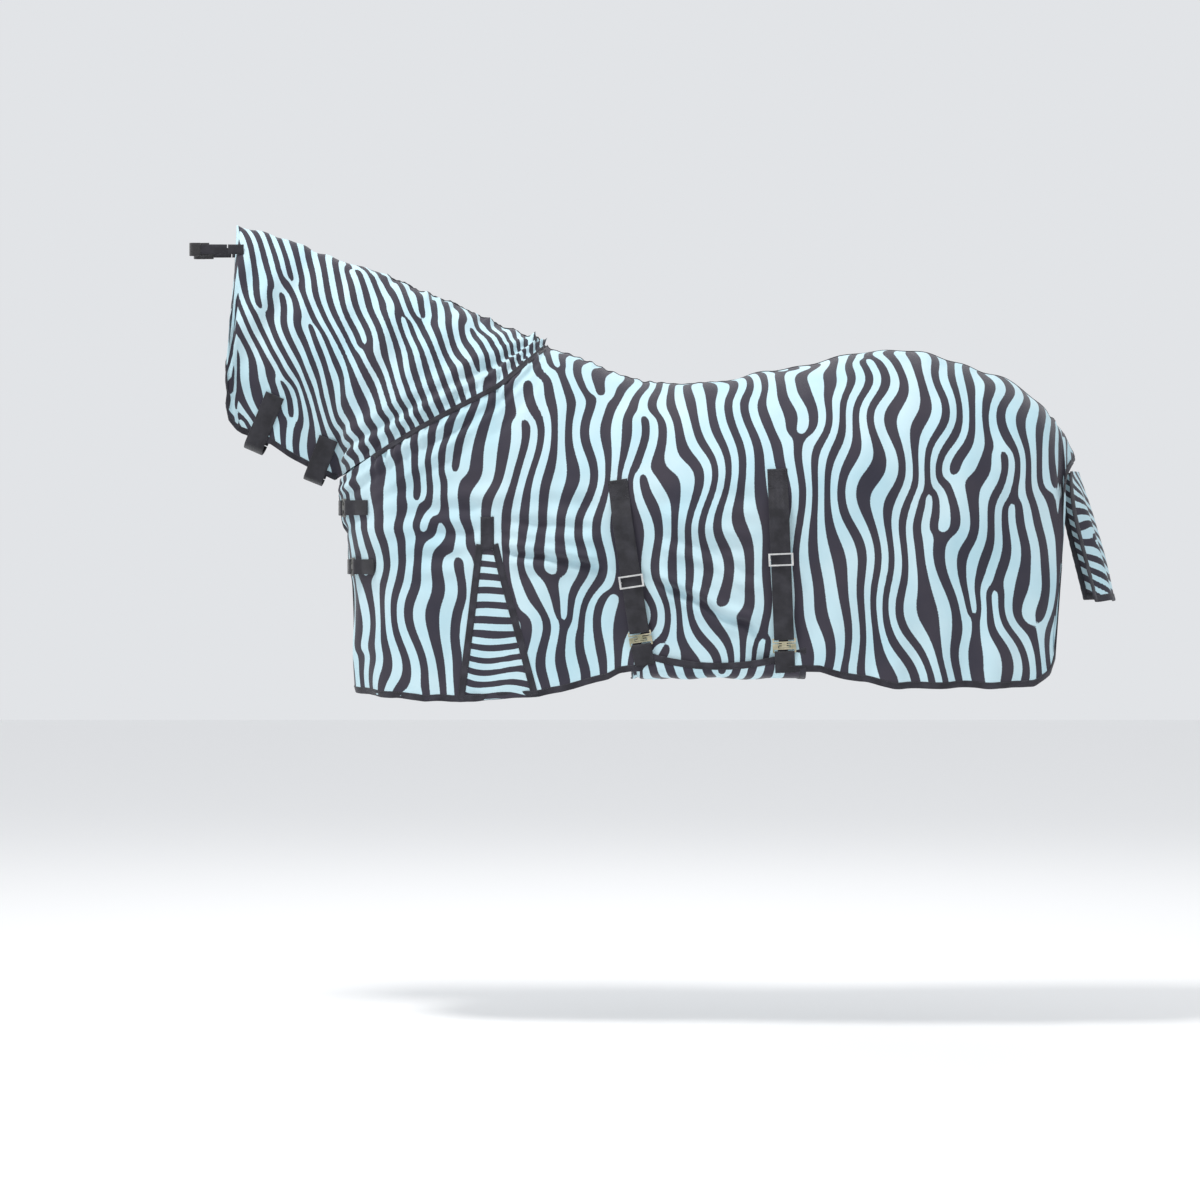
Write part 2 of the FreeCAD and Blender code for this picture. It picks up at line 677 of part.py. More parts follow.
def make_surcingle(name, top, slide_at, clip_at):
    """One left surcingle: strap, slide adjuster, T hook, slotted plate and the flap's loop."""
    top_point, clip_point = skin_point(*top), skin_point(*clip_at)
    down = (clip_point - top_point)
    middle_x = (top[0] + clip_at[0]) / 2
    along = skin_point(middle_x + 40, -450) - skin_point(middle_x - 40, -450)
    outward = down.cross(along)
    if outward.y > 0:
        outward = outward * -1
    outward.normalize()
    frame = frame_from(top_point, down, outward)
    length = down.Length

    cloth_v = heights_under(body_cloth, frame, 0, length, val("web_wide"), 41)
    slide_share = (slide_at[1] - top[1]) / (clip_at[1] - top[1])
    bar_u = length - (hook_head_bar - tee_middle) + 3
    slope = (cloth_v(bar_u) - cloth_v(HANG_FROM)) / (bar_u - HANG_FROM)
    samples = [HANG_FROM + (bar_u - HANG_FROM) * k / 20 for k in range(21)]
    start_v = max(cloth_v(u) - slope * (u - HANG_FROM) for u in samples) + strap_lift

    def strap_v(u):
        hanging = start_v + slope * (u - HANG_FROM)
        sewn = cloth_v(u) + tape_low + web_thick / 2
        share = ease((u - SEWN_TO) / (HANG_FROM - SEWN_TO))
        return sewn + (hanging - sewn) * share

    hang_v = strap_v(bar_u)
    front = [(u, strap_v(u)) for u in range(2, int(bar_u) - 18, 14)]
    front += [(bar_u - 12, hang_v)]
    turn = arc_points(bar_u, hang_v - bar_back, loop_round, 90, -90)
    slide_u = length * slide_share
    back = [(bar_u - 10, hang_v - bar_back - loop_round + 0.5),
            (bar_u - 22, strap_v(bar_u - 22) - return_back)]
    back += [(u, strap_v(u) - return_back) for u in range(int(bar_u) - 34, int(slide_u) + 6, -14)]
    add_soft(f"surcingle_strap_{name}", band(front + turn + back, web_thick, val("web_wide"), frame))

    def world(u, v):
        return frame.multVec(Vector(u, v, 0))

    out_axis = frame.Rotation.multVec(Vector(0, 1, 0))
    up_axis = frame.Rotation.multVec(Vector(-1, 0, 0))
    slide_up = world(slide_u - 10, strap_v(slide_u - 10)) - world(slide_u + 10, strap_v(slide_u + 10))
    slide_out = up_axis.cross(out_axis).cross(slide_up) * -1
    if slide_out.dot(out_axis) < 0:
        slide_out = slide_out * -1
    slide_out.normalize()
    ring_front = web_thick / 2 + 0.5 + val("slide_bar")
    slide_origin = world(slide_u, strap_v(slide_u)) + slide_out * ring_front
    slide_body(f"slide_adjuster_{name}", metal_frame(slide_origin, slide_out, slide_up))

    bar_point = world(bar_u, hang_v - bar_back)
    hook_frame = metal_frame(bar_point - up_axis * hook_head_bar, out_axis, up_axis)
    hook_body(f"surcingle_hook_{name}", "sizes.web_wide", hook_frame)
    behind = 2 * metal_half + val("metal_gap")
    tee_point = bar_point - up_axis * (hook_head_bar - tee_middle)
    plate_point = tee_point - up_axis * (plate_key_middle - 0.5) - out_axis * behind
    plate_body(f"flap_plate_{name}", "sizes.web_wide", metal_frame(plate_point, out_axis, up_axis))
    print(name, "hook hinge", bar_point, "axis", up_axis.cross(out_axis), "slide up", slide_up.normalize())
    low_bar = plate_point + up_axis * plate_low_bar
    return low_bar, out_axis, up_axis


surcingle_ends = [make_surcingle(*surcingle) for surcingle in SURCINGLES]


# ---------------------------------------------------------------- patches given by a rule

def rule_grid(rule, u_from, u_to, u_count, v_from, v_to, v_count):
    return [[rule(u_from + (u_to - u_from) * i / (u_count - 1), v_from + (v_to - v_from) * j / (v_count - 1))
             for j in range(v_count)] for i in range(u_count)]


def patch(rule, u_span, v_span, low, high, u_count=9, v_count=15):
    return layer(rule_grid(rule, *u_span, u_count, *v_span, v_count), low, high)


# ---------------------------------------------------------------- belly flap

FLAP_LEFT = (12, 480)         # x of the flap's corners under the clips
FLAP_RIGHT = (52, 478)        # x of the flap's ends at the right hem
FLAP_SEAM = (262, 291)        # half width of the right hem at those two ends
FLAP_SEAM_Z = -748
FLAP_BOTTOM_Z = -768
FLAP_OFF_BODY = 5.2           # from the body's surface to the flap's outer face
FLAP_LOOP_GAP = 1.2


def flap_rule(u, v):
    """u runs from the front to the rear edge, v from the right seam to the upper left edge."""
    x = (FLAP_RIGHT[0] + (FLAP_RIGHT[1] - FLAP_RIGHT[0]) * u) * (1 - v)
    x += (FLAP_LEFT[0] + (FLAP_LEFT[1] - FLAP_LEFT[0]) * u) * v
    seam_y = FLAP_SEAM[0] + (FLAP_SEAM[1] - FLAP_SEAM[0]) * u
    top_z = -682 - 46 * (1 - (2 * u - 1) ** 2)
    left_y = -skin_y(x, max(top_z, -745)) - FLAP_OFF_BODY
    path = [(seam_y, FLAP_SEAM_Z), (seam_y - 25, FLAP_BOTTOM_Z + 2), (seam_y * 0.6, FLAP_BOTTOM_Z),
            (0, FLAP_BOTTOM_Z - 1), (left_y * 0.6, FLAP_BOTTOM_Z), (left_y * 0.88, FLAP_BOTTOM_Z + 2),
            (left_y * 0.97, FLAP_BOTTOM_Z + 9), (left_y - 1.0, -746), (left_y - 0.6, (top_z - 746) / 2),
            (left_y, top_z)]
    marks = [0, 0.04, 0.2, 0.42, 0.65, 0.8, 0.86, 0.905, 0.95, 1.0]
    y = smooth_curve(marks, [p[0] for p in path])(v)
    z = smooth_curve(marks, [p[1] for p in path])(v)
    return Vector(x, y, z)


def make_belly_flap():
    edge = 0.03
    upper = 0.982
    low, high = -thick, 0
    add_soft("belly_flap", patch(flap_rule, (edge, 1 - edge), (0, upper), low, high, 9, 41))
    sides = [patch(flap_rule, across, along, low - proud, high + proud, 5, rows)
             for across in ((0, edge), (1 - edge, 1)) for along, rows in (((0, 0.89), 37), ((0.89, 1), 9))]
    top = patch(flap_rule, (edge, 1 - edge), (upper, 1), low - proud, high + proud, 13, 3)
    add_soft("belly_flap_binding", Part.makeCompound(sides + [top]))


def make_flap_loop(name, low_bar, out_axis, up_axis):
    """Webbing from the slotted plate down onto the flap."""
    frame = frame_from(low_bar, up_axis * -1, out_axis)
    flap_pieces = Part.makeCompound([item.Shape for item in doc.Objects
                                     if item.Label.startswith("belly_flap")])
    flap_height = heights_under(flap_pieces, frame, 58, 8, val("web_wide"), 11)

    def flap_v(u):
        return flap_height(u) + FLAP_LOOP_GAP + web_thick / 2

    turn = arc_points(0, 0, loop_round, -90, -270)
    over = [(8, loop_round - 0.4), (24, flap_v(24) + 3.2), (40, flap_v(40)), (52, flap_v(52))]
    under = [(16, flap_v(16) + 0.6), (7, -loop_round + 0.3)]
    add_soft(f"flap_loop_{name}", band(under + turn + over, web_thick, val("web_wide"), frame))


# ---------------------------------------------------------------- tail flap

def tail_rule(u, v):
    """u runs across from left to right, v from the seam to the hem."""
    down = [0, 0.12, 0.4, 0.7, 1.0]
    x = smooth_curve(down, [1169, 1181, 1214, 1246, 1269])(v)
    z = smooth_curve(down, [-224, -262, -365, -474, -576])(v)
    half = val("tail_half_top") + (val("tail_half_low") - val("tail_half_top")) * v
    across = 2 * u - 1
    sag = smooth_curve(down, [30, 42, 56, 62, 60])(v)
    return Vector(x - sag * across * across, half * across, z - 22 * across * across * (1 - v))


def make_tail_flap():
    edge = 0.05
    low_edge = 0.96
    add_soft("tail_flap", patch(tail_rule, (edge, 1 - edge), (0, low_edge), -thick, 0, 11, 11))
    sides = (-thick - proud, proud)
    left = patch(tail_rule, (0, edge), (0, 1), *sides, 3, 11)
    right = patch(tail_rule, (1 - edge, 1), (0, 1), *sides, 3, 11)
    foot = patch(tail_rule, (edge, 1 - edge), (low_edge, 1), *sides, 11, 3)
    add_soft("tail_flap_binding", Part.makeCompound([left, right, foot]))


make_belly_flap()
for (end_name, *_), ends in zip(SURCINGLES, surcingle_ends):
    make_flap_loop(end_name, *ends)
make_tail_flap()


# ---------------------------------------------------------------- chest closures

CHEST_METAL_LIFT = 15
CHEST_STRAP_GAP = 1.9
chest_cloth = Part.makeCompound([body_edge, mirrored(body_edge)])


def make_chest_closure(name, height):
    """Two short straps at the front, a T hook on the left one and its plate on the right one."""
    def chest_point(turn, lift):
        a = math.radians(turn)
        reach = val("shoulder_x") - val("chest_x")
        x = val("shoulder_x") - reach * math.cos(a)
        station = Vector(x + lean_at(x, height), -val("shoulder_half") * math.sin(a), height)
        outward = Vector(-math.cos(a) * val("shoulder_half"), -math.sin(a) * reach, 0).normalize()
        return station + outward * lift

    hook_turn, plate_turn = 27, 9
    bar_at = chest_point(hook_turn, CHEST_METAL_LIFT)
    low_at = chest_point(plate_turn, CHEST_METAL_LIFT)
    run = (bar_at - low_at).normalize()
    outward = Vector(0, 0, 1).cross(run)
    if outward.x > 0:
        outward = outward * -1
    hook_body(f"chest_hook_{name}", "sizes.chest_web_wide",
              metal_frame(bar_at - run * hook_head_bar, outward, run))
    behind = 2 * metal_half + val("metal_gap")
    tee_at = bar_at - run * (hook_head_bar - tee_middle)
    plate_at = tee_at - run * (plate_key_middle - 0.5) - outward * behind
    plate_body(f"chest_plate_{name}", "sizes.chest_web_wide", metal_frame(plate_at, outward, run))

    def sewn_path(frame, turns):
        """Points of webbing that lies on the chest, in a frame's own plane."""
        into = frame.inverse()
        along = [into.multVec(chest_point(turn, 0)).x for turn in turns]
        height = heights_under(chest_cloth, frame, along[0], along[-1], val("chest_web_wide"), 17)
        return stood_off([(u, height(u)) for u in along], CHEST_STRAP_GAP + web_thick / 2)

    left_frame = frame_from(bar_at, run * -1, outward)
    outer = sewn_path(left_frame, (46, 43, 40, 37, 34)) + [(-9, loop_round - 0.2)]
    turn_round = arc_points(0, 0, loop_round, 90, -90)
    add_soft(f"chest_strap_left_{name}",
             band(outer + turn_round + [(-8, -loop_round)], web_thick, val("chest_web_wide"), left_frame))

    plate_bar = plate_at + run * plate_low_bar
    right_frame = frame_from(plate_bar, run * -1, outward)
    outer = [(7, -loop_round + 0.6)] + arc_points(0, 0, loop_round, -90, -270) + [(9, loop_round - 0.3)]
    outer += sewn_path(right_frame, [3 - 3 * k for k in range(14)])
    add_soft(f"chest_strap_right_{name}", band(outer, web_thick, val("chest_web_wide"), right_frame))
    print(name, "chest hinge", bar_at, "run", run, "outward", outward)


for closure in CHEST_CLOSURES:
    make_chest_closure(*closure)


# ---------------------------------------------------------------- neck straps

NECK_STRAP_GAP = 1.4          # air for the loop patch under the strap
NECK_TURN_DROP = 10           # how far below the cloth's edge the strap turns under

def make_neck_strap(name, top, low):
    """A wide hook-and-loop strap that is sewn on the right, runs under the throat and sticks on the left."""
    down = Vector(low[0] - top[0], 0, low[1] - top[1])
    length = down.Length
    frame = frame_from(Vector(top[0], 0, top[1]), down, Vector(0, -1, 0))
    unit = down.normalize()

    beside_neck = heights_under(neck_edge, frame, 0, length, val("neck_web_wide"), 13)

    def leg(u):
        """Distance from the middle that clears the cloth and its binding across the whole webbing."""
        return beside_neck(u) + NECK_STRAP_GAP + web_thick / 2

    turn_from = length + NECK_TURN_DROP
    left = [(turn_from * k / 12, leg(turn_from * k / 12)) for k in range(13)]
    half = left[-1][1]
    under = [(turn_from + half * 0.5 * math.sin(a), half * math.cos(a))
             for a in (math.radians(18 * k) for k in range(1, 11))]
    add_soft(f"neck_strap_{name}", band(left + under, web_thick, val("neck_web_wide"), frame))
    hinge = frame.multVec(Vector(turn_from, -half, 0))
    base_from = length * 0.45
    base = [(u, -leg(u)) for u in (turn_from - 2 + (base_from - turn_from + 2) * k / 6 for k in range(7))]
    add_soft(f"neck_strap_base_{name}", band(base, web_thick, val("neck_web_wide"), frame))
    across = frame.Rotation.multVec(Vector(0, 0, 1))
    print(name, "neck strap hinge", hinge, "axis", across)
    corners = []
    for u, side in ((4, -1), (4, 1), (62, 1), (62, -1)):
        reach = side * (val("neck_web_wide") / 2 - 3)
        corners.append((top[0] + unit.x * u - unit.z * reach, top[1] + unit.z * u + unit.x * reach))
    add_soft(f"neck_loop_patch_{name}", neck_tape.common(prism(corners, -8)))


for neck_strap in NECK_STRAPS:
    make_neck_strap(*neck_strap)


# ---------------------------------------------------------------- poll straps

POLL_Z = 322
POLL_BASE = (-958, -998)
POLL_END_X = -1084


def make_poll_strap():
    """The strap from the neck's front edge, and its hook-and-loop end that takes the halter."""
    width = val("poll_web_wide")
    level = FreeCAD.Placement(Vector(0, 0, POLL_Z), Rotation())
    neck_half = skin_y(-990, POLL_Z)
    lift = 3.0 + web_thick / 2
    base = [(x, -skin_y(x, POLL_Z) - lift - (width / 2) * 0.32)
            for x in (POLL_BASE[0], -970, -984, POLL_BASE[1])]
    hinge = base[-1]
    add_pair("poll_base", band(base, web_thick, width, level))
    side = hinge[1]
    loop_half = 9
    forward = [(hinge[0] - 2.5, side), (hinge[0] - 25, side - 2), (POLL_END_X + 45, side - 2),
               (POLL_END_X, side - 2)]
    add_pair("poll_strap", band(forward, web_thick, width, level))
    end = [(POLL_END_X + 16, side - 2 - web_thick - 0.1)]
    end += [(POLL_END_X - 2, side - 2 - web_thick - 0.1)]
    end += arc_points(POLL_END_X - 4, side - 2 - web_thick - 0.1 + loop_half, loop_half, -90, -270, 13)
    end += [(POLL_END_X + 2, side - 4 + 2 * loop_half), (POLL_END_X + 14, side - 2 + 4),
            (POLL_END_X + 22, side - 2 + web_thick + 0.1),
            (POLL_END_X + 38, side - 2 + web_thick + 0.1)]
    add_pair("poll_hook_tab", band(end, web_thick, width + 8, level))
    print("poll hinge", hinge, "half neck", neck_half)


make_poll_strap()

# ---------------------------------------------------------------- checks and export

doc.recompute()


def finished_pieces():
    return [item for item in doc.Objects
            if item.TypeId in ("Part::Feature", "PartDesign::Body", "Part::MultiFuse")]


for item in doc.Objects:
    if "Invalid" in item.State or "Error" in item.State:
        raise RuntimeError(f"{item.Label} did not compute")

os.makedirs("parts", exist_ok=True)
for piece in finished_pieces():
    if piece.Shape.isNull() or not piece.Shape.isValid():
        raise RuntimeError(f"{piece.Label} is not a valid shape")
    box = piece.Shape.BoundBox
    print(f"{piece.Label:24s} solids {len(piece.Shape.Solids)} volume {piece.Shape.Volume / 1000:9.2f} cm3",
          f"x {box.XMin:.0f} {box.XMax:.0f} y {box.YMin:.0f} {box.YMax:.0f} z {box.ZMin:.0f} {box.ZMax:.0f}")
    piece.Shape.exportStep(f"parts/{piece.Label}.step")
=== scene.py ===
# %% [markdown]
# # A full-neck fly sheet, built as it is worn
# A fly sheet is a horse's summer coat: two big panels of fine printed mesh, joined along the back, with
# a neck cover, a flap under the belly and a flap over the tail. Nothing in it is stiff, so its shape is
# the shape of the horse below it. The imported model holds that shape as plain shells, and this lesson
# turns each shell into cloth, tape, webbing and metal that can be looked at closely.

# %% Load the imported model
import json
import math

import bmesh
import bpy
import numpy as np
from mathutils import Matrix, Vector
from mathutils.bvhtree import BVHTree

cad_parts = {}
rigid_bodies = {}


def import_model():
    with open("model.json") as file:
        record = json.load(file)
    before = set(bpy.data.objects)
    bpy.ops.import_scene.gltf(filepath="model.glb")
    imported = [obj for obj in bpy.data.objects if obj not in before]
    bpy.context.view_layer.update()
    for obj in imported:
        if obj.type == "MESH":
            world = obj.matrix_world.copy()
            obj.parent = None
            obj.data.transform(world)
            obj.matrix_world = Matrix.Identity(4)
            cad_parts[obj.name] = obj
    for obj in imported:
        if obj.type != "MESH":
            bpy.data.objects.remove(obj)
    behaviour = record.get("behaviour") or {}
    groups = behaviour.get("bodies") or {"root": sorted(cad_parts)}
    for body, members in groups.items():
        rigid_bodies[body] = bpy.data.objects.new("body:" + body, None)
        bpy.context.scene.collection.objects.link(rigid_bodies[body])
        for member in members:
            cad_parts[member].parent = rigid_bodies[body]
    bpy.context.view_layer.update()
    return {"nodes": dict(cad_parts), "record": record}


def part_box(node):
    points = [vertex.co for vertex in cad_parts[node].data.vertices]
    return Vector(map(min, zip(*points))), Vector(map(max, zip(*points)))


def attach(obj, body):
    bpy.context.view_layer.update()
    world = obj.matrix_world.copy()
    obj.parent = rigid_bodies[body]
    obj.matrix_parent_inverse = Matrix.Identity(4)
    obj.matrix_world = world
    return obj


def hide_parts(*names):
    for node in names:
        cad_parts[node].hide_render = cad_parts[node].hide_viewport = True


for leftover in list(bpy.data.objects):
    bpy.data.objects.remove(leftover)
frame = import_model()
NODES = frame["nodes"]

# %% [markdown]
# ## Camera and light
# The sheet is seen square from the horse's left, from far off, so that nothing looks swollen by
# perspective. Three large soft lamps and a pale world act like the white walls of a studio: the top of
# the back is bright, and the belly falls slowly into shade.

# %% Camera, lamps and floor
middle = Vector((-0.05, 0.0, -0.5725))
distance = 11.0
camera = bpy.data.objects.new("camera", bpy.data.cameras.new("camera"))
bpy.context.scene.collection.objects.link(camera)
camera.location = middle + Vector((0, -distance, 0.12))
camera.rotation_euler = (Vector((0, distance, -0.12))).to_track_quat("-Z", "Y").to_euler()
camera.data.sensor_width = 36
camera.data.lens = 36 * (distance - 0.28) / 3.0
camera.data.clip_end = 60
bpy.context.scene.camera = camera
bpy.context.scene.view_settings.view_transform = "Standard"


def lamp(name, place, size, power, tint=(1, 1, 1)):
    data = bpy.data.lights.new(name, "AREA")
    data.shape, data.size, data.energy, data.color = "DISK", size, power, tint
    piece = bpy.data.objects.new(name, data)
    piece.location = place
    piece.rotation_euler = (middle - Vector(place)).to_track_quat("-Z", "Y").to_euler()
    bpy.context.scene.collection.objects.link(piece)


lamp("key_lamp", (-1.8, -2.2, 4.9), 1.2, 215, (1.0, 0.99, 0.97))
lamp("fill_lamp", (3.4, -4.8, 0.8), 3.6, 8, (0.90, 0.95, 1.0))
lamp("back_lamp", (0.6, 4.2, 3.4), 3.0, 50)
world = bpy.data.worlds.new("studio")
world.use_nodes = True
world.node_tree.nodes["Background"].inputs["Color"].default_value = (0.95, 0.97, 1.0, 1)
world.node_tree.nodes["Background"].inputs["Strength"].default_value = 0.80
bpy.context.scene.world = world

HOOF_LEVEL = -1.66
floor_mesh = bpy.data.meshes.new("floor")
FLOOR_HALF = 20
corners = [(x * FLOOR_HALF, y * FLOOR_HALF, HOOF_LEVEL) for x, y in ((-1, -1), (1, -1), (1, 1), (-1, 1))]
floor_mesh.from_pydata(corners, [], [(0, 1, 2, 3)])
floor = bpy.data.objects.new("floor", floor_mesh)
bpy.context.scene.collection.objects.link(floor)
print("camera", [round(c, 2) for c in camera.location], "lens", round(camera.data.lens, 1))

# %% [markdown]
# ## A small kit for materials
# Every finish here is a chain of nodes, so the same three or four steps come back each time: add a node,
# set its sockets, join it to the next. A short helper keeps the chains readable.


# %% Material helpers
class Finish:
    """A material under construction: add nodes by type, set their sockets, and link them."""

    def __init__(self, name, colour, roughness, metallic=0.0):
        self.material = bpy.data.materials.new(name)
        self.material.use_nodes = True
        self.tree = self.material.node_tree
        self.shader = self.tree.nodes["Principled BSDF"]
        self.set(self.shader, {"Base Color": (*colour, 1), "Roughness": roughness, "Metallic": metallic})
        self.material.diffuse_color = (*colour, 1)

    def set(self, node, values):
        for socket, value in values.items():
            if isinstance(value, bpy.types.NodeSocket):
                self.tree.links.new(value, node.inputs[socket])
            else:
                node.inputs[socket].default_value = value
        return node

    def node(self, kind, values=None, **settings):
        node = self.tree.nodes.new(kind)
        for name, value in settings.items():
            setattr(node, name, value)
        return self.set(node, values or {})

    def math(self, operation, first, second=0.0):
        return self.node("ShaderNodeMath", {0: first, 1: second}, operation=operation).outputs[0]

    def mix(self, share, first, second):
        node = self.node("ShaderNodeMix", data_type="RGBA")
        self.set(node, {0: share, 6: first, 7: second})
        return node.outputs[2]

    def ramp(self, value, low, high, to_low=0.0, to_high=1.0):
        return self.node("ShaderNodeMapRange", {"Value": value, "From Min": low, "From Max": high,
                                                "To Min": to_low, "To Max": to_high}).outputs[0]

    def noise(self, scale, detail=2.0, place=None):
        values = {"Scale": scale, "Detail": detail}
        if place is not None:
            values["Vector"] = place
        return self.node("ShaderNodeTexNoise", values).outputs["Fac"]

    def bump(self, height, strength, depth):
        node = self.node("ShaderNodeBump", {"Height": height, "Strength": strength, "Distance": depth})
        self.tree.links.new(node.outputs["Normal"], self.shader.inputs["Normal"])

    def uv(self):
        return self.node("ShaderNodeTexCoord").outputs["UV"]

    def place(self):
        return self.node("ShaderNodeTexCoord").outputs["Object"]


studio_floor = Finish("studio_floor", (0.93, 0.93, 0.93), 0.9)
floor_mesh.materials.append(studio_floor.material)

# %% [markdown]
# ## The printed mesh
# The cloth is a fine open mesh of polyester, printed in pale aqua and charcoal. The print is not drawn
# in the shader: each piece of cloth carries a smooth wave called `stripe`, and the material only asks
# whether the wave is above or below zero. That gives a sharp edge between the two inks at any
# distance. On top come the holes of the mesh, a slow fading of the ink, and a soft sheen.


# %% Printed mesh
def printed_mesh():
    cloth = Finish("printed_mesh", (0.45, 0.68, 0.77), 0.72)
    wave = cloth.node("ShaderNodeAttribute", attribute_name="stripe").outputs["Fac"]
    uv = cloth.uv()
    fuzz = cloth.math("SUBTRACT", cloth.noise(260.0, 2.0, uv), 0.5)
    ragged = cloth.math("ADD", wave, cloth.math("MULTIPLY", fuzz, 0.16))
    is_dark = cloth.ramp(ragged, -0.045, 0.045)
    wash = cloth.ramp(cloth.noise(5.0, 3.0, uv), 0.35, 0.68)
    pale = cloth.mix(wash, (0.58, 0.76, 0.82, 1), (0.47, 0.69, 0.77, 1))
    dark = cloth.mix(wash, (0.046, 0.040, 0.055, 1), (0.030, 0.029, 0.045, 1))
    cloth.set(cloth.shader, {"Base Color": cloth.mix(is_dark, pale, dark)})
    separate = cloth.node("ShaderNodeSeparateXYZ", {0: uv})
    threads = []
    for axis in ("X", "Y"):
        turn = cloth.math("MULTIPLY", separate.outputs[axis], 2 * math.pi / MESH_PITCH)
        threads.append(cloth.math("ABSOLUTE", cloth.math("SINE", turn)))
    cloth.bump(cloth.math("MAXIMUM", threads[0], threads[1]), 0.35, 0.0006)
    cloth.set(cloth.shader, {"Sheen Weight": 0.18, "Sheen Roughness": 0.5, "Specular IOR Level": 0.25})
    return cloth.material


MESH_PITCH = 0.0024
PRINTED = printed_mesh()

# %% [markdown]
# ## Tape, elastic, webbing and hook-and-loop
# All the black trim is woven, but not alike. Binding tape has fine ribs across it, webbing has a coarse
# twill that shines a little along its length, and hook-and-loop is dull and crumbly. Each piece's UV map
# is in metres, first across and then along, so that the ribs follow every bend.


# %% Black trims
def ribbed(name, colour, roughness, rib, slant, depth, sheen=0.2):
    trim = Finish(name, colour, roughness)
    uv = trim.uv()
    parts = trim.node("ShaderNodeSeparateXYZ", {0: uv})
    across, along = parts.outputs["X"], parts.outputs["Y"]
    skew = trim.math("MULTIPLY", trim.math("PINGPONG", across, 0.006), slant)
    turn = trim.math("MULTIPLY", trim.math("ADD", along, skew), 2 * math.pi / rib)
    ribs = trim.math("SINE", turn)
    grain = trim.noise(900.0, 2.0, uv)
    trim.bump(trim.math("ADD", ribs, grain), 0.5, depth)
    worn = trim.ramp(trim.noise(24.0, 3.0, uv), 0.4, 0.7)
    lighter = tuple(min(1.0, c * 1.9 + 0.008) for c in colour)
    trim.set(trim.shader, {"Base Color": trim.mix(worn, (*colour, 1), (*lighter, 1)),
                           "Sheen Weight": sheen, "Specular IOR Level": 0.3})
    return trim.material


TAPE = ribbed("black_tape", (0.019, 0.018, 0.025), 0.7, 0.0016, 0.0, 0.0003)
ELASTIC = ribbed("black_elastic", (0.016, 0.016, 0.021), 0.75, 0.0030, 0.0, 0.0006)
WEBBING = ribbed("black_webbing", (0.014, 0.0135, 0.018), 0.62, 0.0034, 0.5, 0.0005)


def hook_and_loop():
    pile = Finish("hook_and_loop", (0.012, 0.012, 0.014), 0.95)
    crumbs = pile.noise(1400.0, 3.0, pile.uv())
    pile.bump(crumbs, 0.9, 0.0010)
    pile.set(pile.shader, {"Sheen Weight": 0.5, "Sheen Roughness": 0.6, "Specular IOR Level": 0.1})
    return pile.material


PILE = hook_and_loop()
THREAD = ribbed("sewing_thread", (0.030, 0.029, 0.036), 0.6, 0.0012, 0.6, 0.0001)

# %% [markdown]
# ## Three metals
# The surcingle hooks are brass-plated and have gone olive with handling, the slide adjusters are bright
# nickel, and the chest hooks are dark gunmetal. A metal's colour is its reflection, so each needs a base
# colour, a roughness that changes with fine smears, and small dents.


# %% Metals
def metal(name, colour, tarnish, roughness, patch=45.0):
    plate = Finish(name, colour, roughness, metallic=1.0)
    where = plate.place()
    cloudy = plate.ramp(plate.noise(patch, 4.0, where), 0.38, 0.66)
    plate.set(plate.shader, {"Base Color": plate.mix(cloudy, (*colour, 1), (*tarnish, 1))})
    smear = plate.ramp(plate.noise(310.0, 3.0, where), 0.3, 0.7, roughness - 0.09, roughness + 0.14)
    plate.set(plate.shader, {"Roughness": smear})
    plate.bump(plate.noise(520.0, 2.0, where), 0.12, 0.0006)
    return plate.material


METALS = {"aged_brass": metal("aged_brass", (0.64, 0.58, 0.42), (0.34, 0.33, 0.22), 0.34),
          "bright_steel": metal("bright_steel", (0.86, 0.85, 0.83), (0.66, 0.66, 0.66), 0.22),
          "dark_metal": metal("dark_metal", (0.24, 0.24, 0.225), (0.12, 0.12, 0.115), 0.38)}
for part in frame["record"]["subparts"]:
    if part["material_slot"] in METALS:
        NODES[part["node"]].data.materials.clear()
        NODES[part["node"]].data.materials.append(METALS[part["material_slot"]])
print("metal finishes", sorted(METALS))

# %% [markdown]
# ## Reading the shape of the shells
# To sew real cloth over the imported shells, the lesson needs their outer face as an even net of points.
# It could copy the shell's own triangles, but they are long and uneven, and folds need small even cells.
# So rays are shot from outside towards the middle of the horse, one fan of rays for each station along
# the body. The longest unbroken run of hits in a fan is the cloth, and its two ends are its two edges.


# %% Shooting rays at the shells
def shell_tree(*names):
    """One search tree over the triangles of several CAD nodes."""
    points, faces = [], []
    for name in names:
        mesh = NODES[name].data
        start = len(points)
        points += [v.co.copy() for v in mesh.vertices]
        faces += [[start + i for i in p.vertices] for p in mesh.polygons]
    return BVHTree.FromPolygons(points, faces)


def fan(tree, centre, level, low, high, reach=1.6):
    """A function from an angle to the outermost point of the shell on that ray."""
    def cast(angle):
        away = level * math.cos(angle) + Vector((0, 0, 1)) * math.sin(angle)
        return tree.ray_cast(centre + away * reach, -away, reach)[0]
    return cast, low, high


def edge_of(cast, missing, hit):
    """The last point of the cloth between an angle that misses it and one that hits it."""
    point = cast(hit)
    for _ in range(12):
        half = (missing + hit) / 2
        found = cast(half)
        if found is None:
            missing = half
        else:
            hit, point = half, found
    return point


